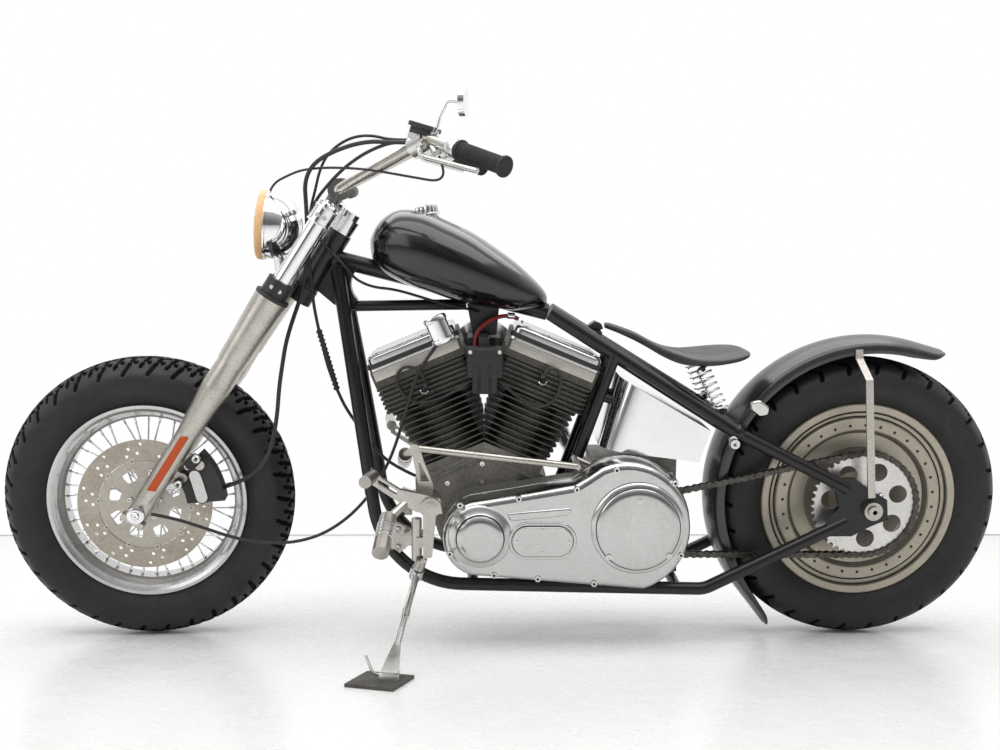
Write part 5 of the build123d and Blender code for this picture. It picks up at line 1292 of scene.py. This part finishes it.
# ---- cables ----
BRAKE_HOSE = [
    (975, 225, -71), (952, 200, -34), (937, 178, -7), (911, 152, 22), (880, 130, 47), (849, 112, 66),
    (818, 97, 74), (786, 86, 67), (757, 81, 47), (725, 80, 25), (690, 80, 3), (650, 81, -20),
    (610, 84, -38), (572, 90, -51), (532, 99, -60), (485, 111, -73), (440, 118, -92), (392, 121, -113),
    (348, 122, -136), (306, 122, -154), (270, 120, -165), (236, 116, -169), (205, 108, -166),
    (178, 98, -156), (152, 86, -143), (127, 72, -126.2)]
THROTTLE_CABLE = [
    (983, 215, -74), (960, 194, -38), (951, 172, -9), (936, 150, 17), (914, 130, 38), (884, 110, 53),
    (855, 92, 59), (822, 78, 55), (785, 68, 43), (755, 60, 35), (728, 54, 24), (708, 49, 0),
    (695, 45, -34), (686, 42, -70), (678, 41, -100), (668, 40, -128)]
TANK_CABLE = [(1090, 38, 797), (1048, 34, 793), (1006, 31, 782), (960, 28, 767), (915, 25, 756),
              (880, 19, 748), (858, 4, 742)]
CLUTCH_CABLE = [
    (986, 210, -84), (966, 196, -55), (947, 180, -33), (908, 150, -6), (859, 120, 15), (804, 92, 27),
    (768, 78, 31), (734, 70, 25), (700, 65, 8), (660, 61, -17), (620, 59, -46), (575, 58, -80),
    (535, 58, -117), (502, 59, -150), (471, 61, -182), (443, 64, -221), (416, 66, -262)]
BELLOWS_FOLDS = 14
CASE_CABLE = [(1104, 62, 468), (1076, 56, 428), (1040, 50, 398), (998.6, 44, 377)]
HUB_CABLE = [(1561, 158, 326), (1522, 146, 314), (1466, 130, 288)]
SPEED_CABLE = [(1391, 116, 256), (1340, 111, 245), (1283, 108, 241), (1232, 102, 248), (1189, 95, 264),
               (1146, 86, 292), (1108, 80.5, 330), (1078, 82, 374), (1056, 89, 416), (1040, 99, 456),
               (1026, 106, 500), (1013, 110, 545), (1000, 110, 590), (984, 106, 628), (964, 98, 657),
               (950, 93, 676.7)]


def loose_piece(name, mesh, material, body=None, replaces=()):
    """Piece in metres that rides one body, or stays fixed where it lies, running from the steering to the
    frame between its ends.
    """
    mesh.name = name
    mesh.materials.clear()
    mesh.materials.append(material)
    mesh.shade_smooth()
    piece = in_scene(name, mesh)
    if body:
        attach(piece, body)
    else:
        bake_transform(piece)
    if replaces:
        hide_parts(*replaces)


def cable_piece(name, points, radius, body=None, replaces=()):
    """Cable on one smooth line through the part's frame, in metres."""
    mesh = curve_mesh([[tuple(point) for point in points]], "NURBS", radius=radius / 1000, sides=4, steps=6)
    loose_piece(name, mesh, cable_sheath, body, replaces)


LAMP_WIRE = [(1309, 20, 1004), (1300, 34, 1020), (1268, 50, 1036), (1234, 75, 1049), (1174, 110, 1054),
             (1099, 145, 1051), (1047, 170, 1043), (992, 190, 1034), (955, 205, 1028), (940, 214, 1038),
             (942, 219, 1058), (950, 222, 1078)]


def build_cables():
    """Wire, hose and cables; those that run to the frame are drawn once, from the turned fork to the frame,
    and ride no body.
    """
    def on_fork(spots):
        return [place(fork_point(*spot), True) for spot in spots]

    def on_frame(spots):
        return [place(spot) for spot in spots]

    cable_piece("lamp_wire", [place(spot, True) for spot in LAMP_WIRE], 2.6, body="steering")
    cable_piece("brake_line", on_fork(BRAKE_HOSE), 4.5, body="steering", replaces=["brake_hose"])
    cable_piece("throttle_cable", on_fork(THROTTLE_CABLE) + on_frame(TANK_CABLE), 3.0,
                replaces=["control_cables"])
    clutch = on_fork(CLUTCH_CABLE) + on_frame(CASE_CABLE)
    cable_piece("clutch_cable", clutch, 3.5)
    speed = [place(spot, True) for spot in HUB_CABLE] + on_frame(SPEED_CABLE)
    cable_piece("speedometer_cable", speed, 3.5,
                replaces=["speed_cable"])
    start, end = clutch[12], clutch[15]
    length = (end - start).length * 1000
    profile = [(3.6, 0)]
    for fold in range(BELLOWS_FOLDS):
        at = length * (fold + 0.2) / BELLOWS_FOLDS
        profile += [(5.2, at), (7.6, at + length / BELLOWS_FOLDS * 0.35),
                    (5.2, at + length / BELLOWS_FOLDS * 0.7)]
    profile.append((3.6, length))
    sleeve = moved(bar(start * 1000, end * 1000, profile, 20), Matrix.Scale(0.001, 4))
    loose_piece("clutch_bellows", sleeve, grip_rubber)


# ---- studio ----
FLOOR_END, FLOOR_HALF, FLOOR_Z = -1.73, 9, -0.0006
LAMPS = (  # name, place, aim, size and power
    ("overhead_bank", (0.0, 1.1, 3.3), (0, 0.1, 0.3), (5.5, 2.6), 92),
    ("side_bank", (3.4, 2.4, 1.9), (0.2, 0, 0.5), (2.6, 2.4), 26),
    ("rear_bank", (0.0, -1.5, 3.0), (0, 0, 0.4), (4.4, 1.2), 26))
CAMERA_AT = (0.87247 - ORIGIN_X / 1000, 2.56831 - ORIGIN_Y / 1000, 0.56489)
CAMERA_TURN = radians(1.4408), radians(-0.5867), radians(-0.1666)  # yaw, pitch and roll
CAMERA_LENS = 39.6


def stage_panel(name, corners, material):
    """Flat panel of the studio."""
    mesh = mesh_from(corners, [(0, 1, 2, 3)])
    mesh.name = name
    mesh.materials.append(material)
    in_scene(name, mesh)


def build_studio():
    """Floor, a grey strip of painted shadow along the line where it ends, the surrounding light and three
    lamps.
    """
    floor_paint = finish_material("studio_floor", (0.83, 0.825, 0.82), (0.80, 0.795, 0.785), (0.22, 0.34),
                                  patch=1.2, speck=20, amount=0.5, bump=0.02, specular=0.4)
    painted_seam_shadow = finish_material("studio_seam", (0.52, 0.52, 0.51), (0.5, 0.5, 0.49), (0.6, 0.7))
    half, low = FLOOR_HALF, FLOOR_Z
    stage_panel("studio_floor", [(-half, FLOOR_END, low), (half, FLOOR_END, low),
                                 (half, 7, low), (-half, 7, low)], floor_paint)
    # grey strip of painted shadow, standing for the shade in the seam where the floor ends
    seam = FLOOR_END + 0.001
    stage_panel("studio_seam", [(-half, seam, low), (-half, seam, 0.003),
                                (half, seam, 0.003), (half, seam, low)], painted_seam_shadow)

    # bright overhead and beyond the machine, dim on the viewer's side
    world = bpy.data.worlds.new("studio_world")
    bpy.context.scene.world = world
    world.use_nodes = True
    tree = world.node_tree
    direction = add(tree, "TexCoord")
    parts = add(tree, "SeparateXYZ", {0: direction.outputs["Generated"]}).outputs
    toward = maths(tree, "MULTIPLY_ADD", parts["Y"], -0.55, maths(tree, "MULTIPLY", parts["Z"], 1.1))
    share = add(tree, "MapRange", {"Value": toward, "From Min": -0.55, "From Max": 0.75, "To Min": 0.14,
                                   "To Max": 0.78}, interpolation_type="SMOOTHSTEP").outputs[0]
    # the ground behind is white, also where polished metal and glass show it
    path = add(tree, "LightPath").outputs
    behind = maths(tree, "LESS_THAN", parts["Y"], -0.2)
    sharp = maths(tree, "MAXIMUM", path["Is Glossy Ray"], path["Is Transmission Ray"])
    seen = maths(tree, "MAXIMUM", path["Is Camera Ray"], maths(tree, "MULTIPLY", sharp, behind))
    background = tree.nodes["Background"]
    background.inputs["Color"].default_value = (1, 1, 1, 1)
    tree.links.new(maths(tree, "MAXIMUM", share, seen), background.inputs["Strength"])

    for name, spot, aim, size, power in LAMPS:
        lamp = bpy.data.lights.new(name, "AREA")
        lamp.shape = "RECTANGLE"
        lamp.size, lamp.size_y = size
        lamp.energy = power
        holder = in_scene(name, lamp)
        holder.location = spot
        holder.rotation_euler = (Vector(aim) - Vector(spot)).to_track_quat("-Z", "Y").to_euler()


def build_pegs():
    """Rings round the foot pegs, and the bolts of the foot controls."""
    root, tip = Vector((NOSE_X - 19, 290, 348)), Vector(PEG_TIP)
    reach = (tip - root).normalized()
    rings = []
    for step in range(5):
        at = root + reach * (18 + 9 * step)
        rings.append(bar(at, at + reach * 5,
                         [(PEG_R - 1, 0), (PEG_R + 1.4, 0.8), (PEG_R + 1.4, 4.2), (PEG_R - 1, 5)], 32))
    put("peg_rings", mirrored_pair(join_meshes(rings)), dull_chrome, "frame")
    studs = []
    for x, z in ((NOSE_X - 50, 270), (NOSE_X - 30, 246), (NOSE_X - 30, 286)):
        studs.append(bar((x, 153, z), (x, 160, z),
                         [(0, 0), (6, 0), (6, 6), (5, 7), (3, 7), (3, 4), (0, 4)], 18))
    studs.append(bar((DRUM[0], 265, DRUM[1]), (DRUM[0], 274, DRUM[1]),
                     [(0, 0), (20.5, 0), (20.5, 5), (12, 6), (12, 8), (5, 9), (0, 9)], 36))
    put("control_bolts", mirrored_pair(join_meshes(studs)), machined_alloy, "frame")


def build_camera():
    """Camera square to the left side, a little above the axles."""
    yaw, pitch, roll = CAMERA_TURN
    right = Vector((-cos(yaw), sin(yaw), 0))
    away = Vector((-sin(yaw), -cos(yaw), 0))
    up = Vector((0, 0, 1))
    depth = away * cos(pitch) - up * sin(pitch)
    rise = up * cos(pitch) + away * sin(pitch)
    data = bpy.data.cameras.new("camera")
    data.sensor_width = 36
    data.lens = CAMERA_LENS
    camera = in_scene("camera", data)
    camera.matrix_world = axes(right * cos(roll) - rise * sin(roll), right * sin(roll) + rise * cos(roll),
                               -depth, CAMERA_AT)
    bpy.context.scene.camera = camera


build_camera()
build_studio()
build_cables()
build_axle_clamps()
build_caliper_details()
build_pegs()
build_tyres()
build_front_wheel()
build_rear_wheel()
build_chain()
build_rocker_boxes()
build_plugs()
build_coil()
build_primary()
build_case_details()
build_tank()
build_seat()
build_springs()
build_fender()
build_fender_details()
build_fork_details()
build_headlamp()
build_grips()
build_bar_details()

bpy.context.scene.view_settings.view_transform = "Standard"
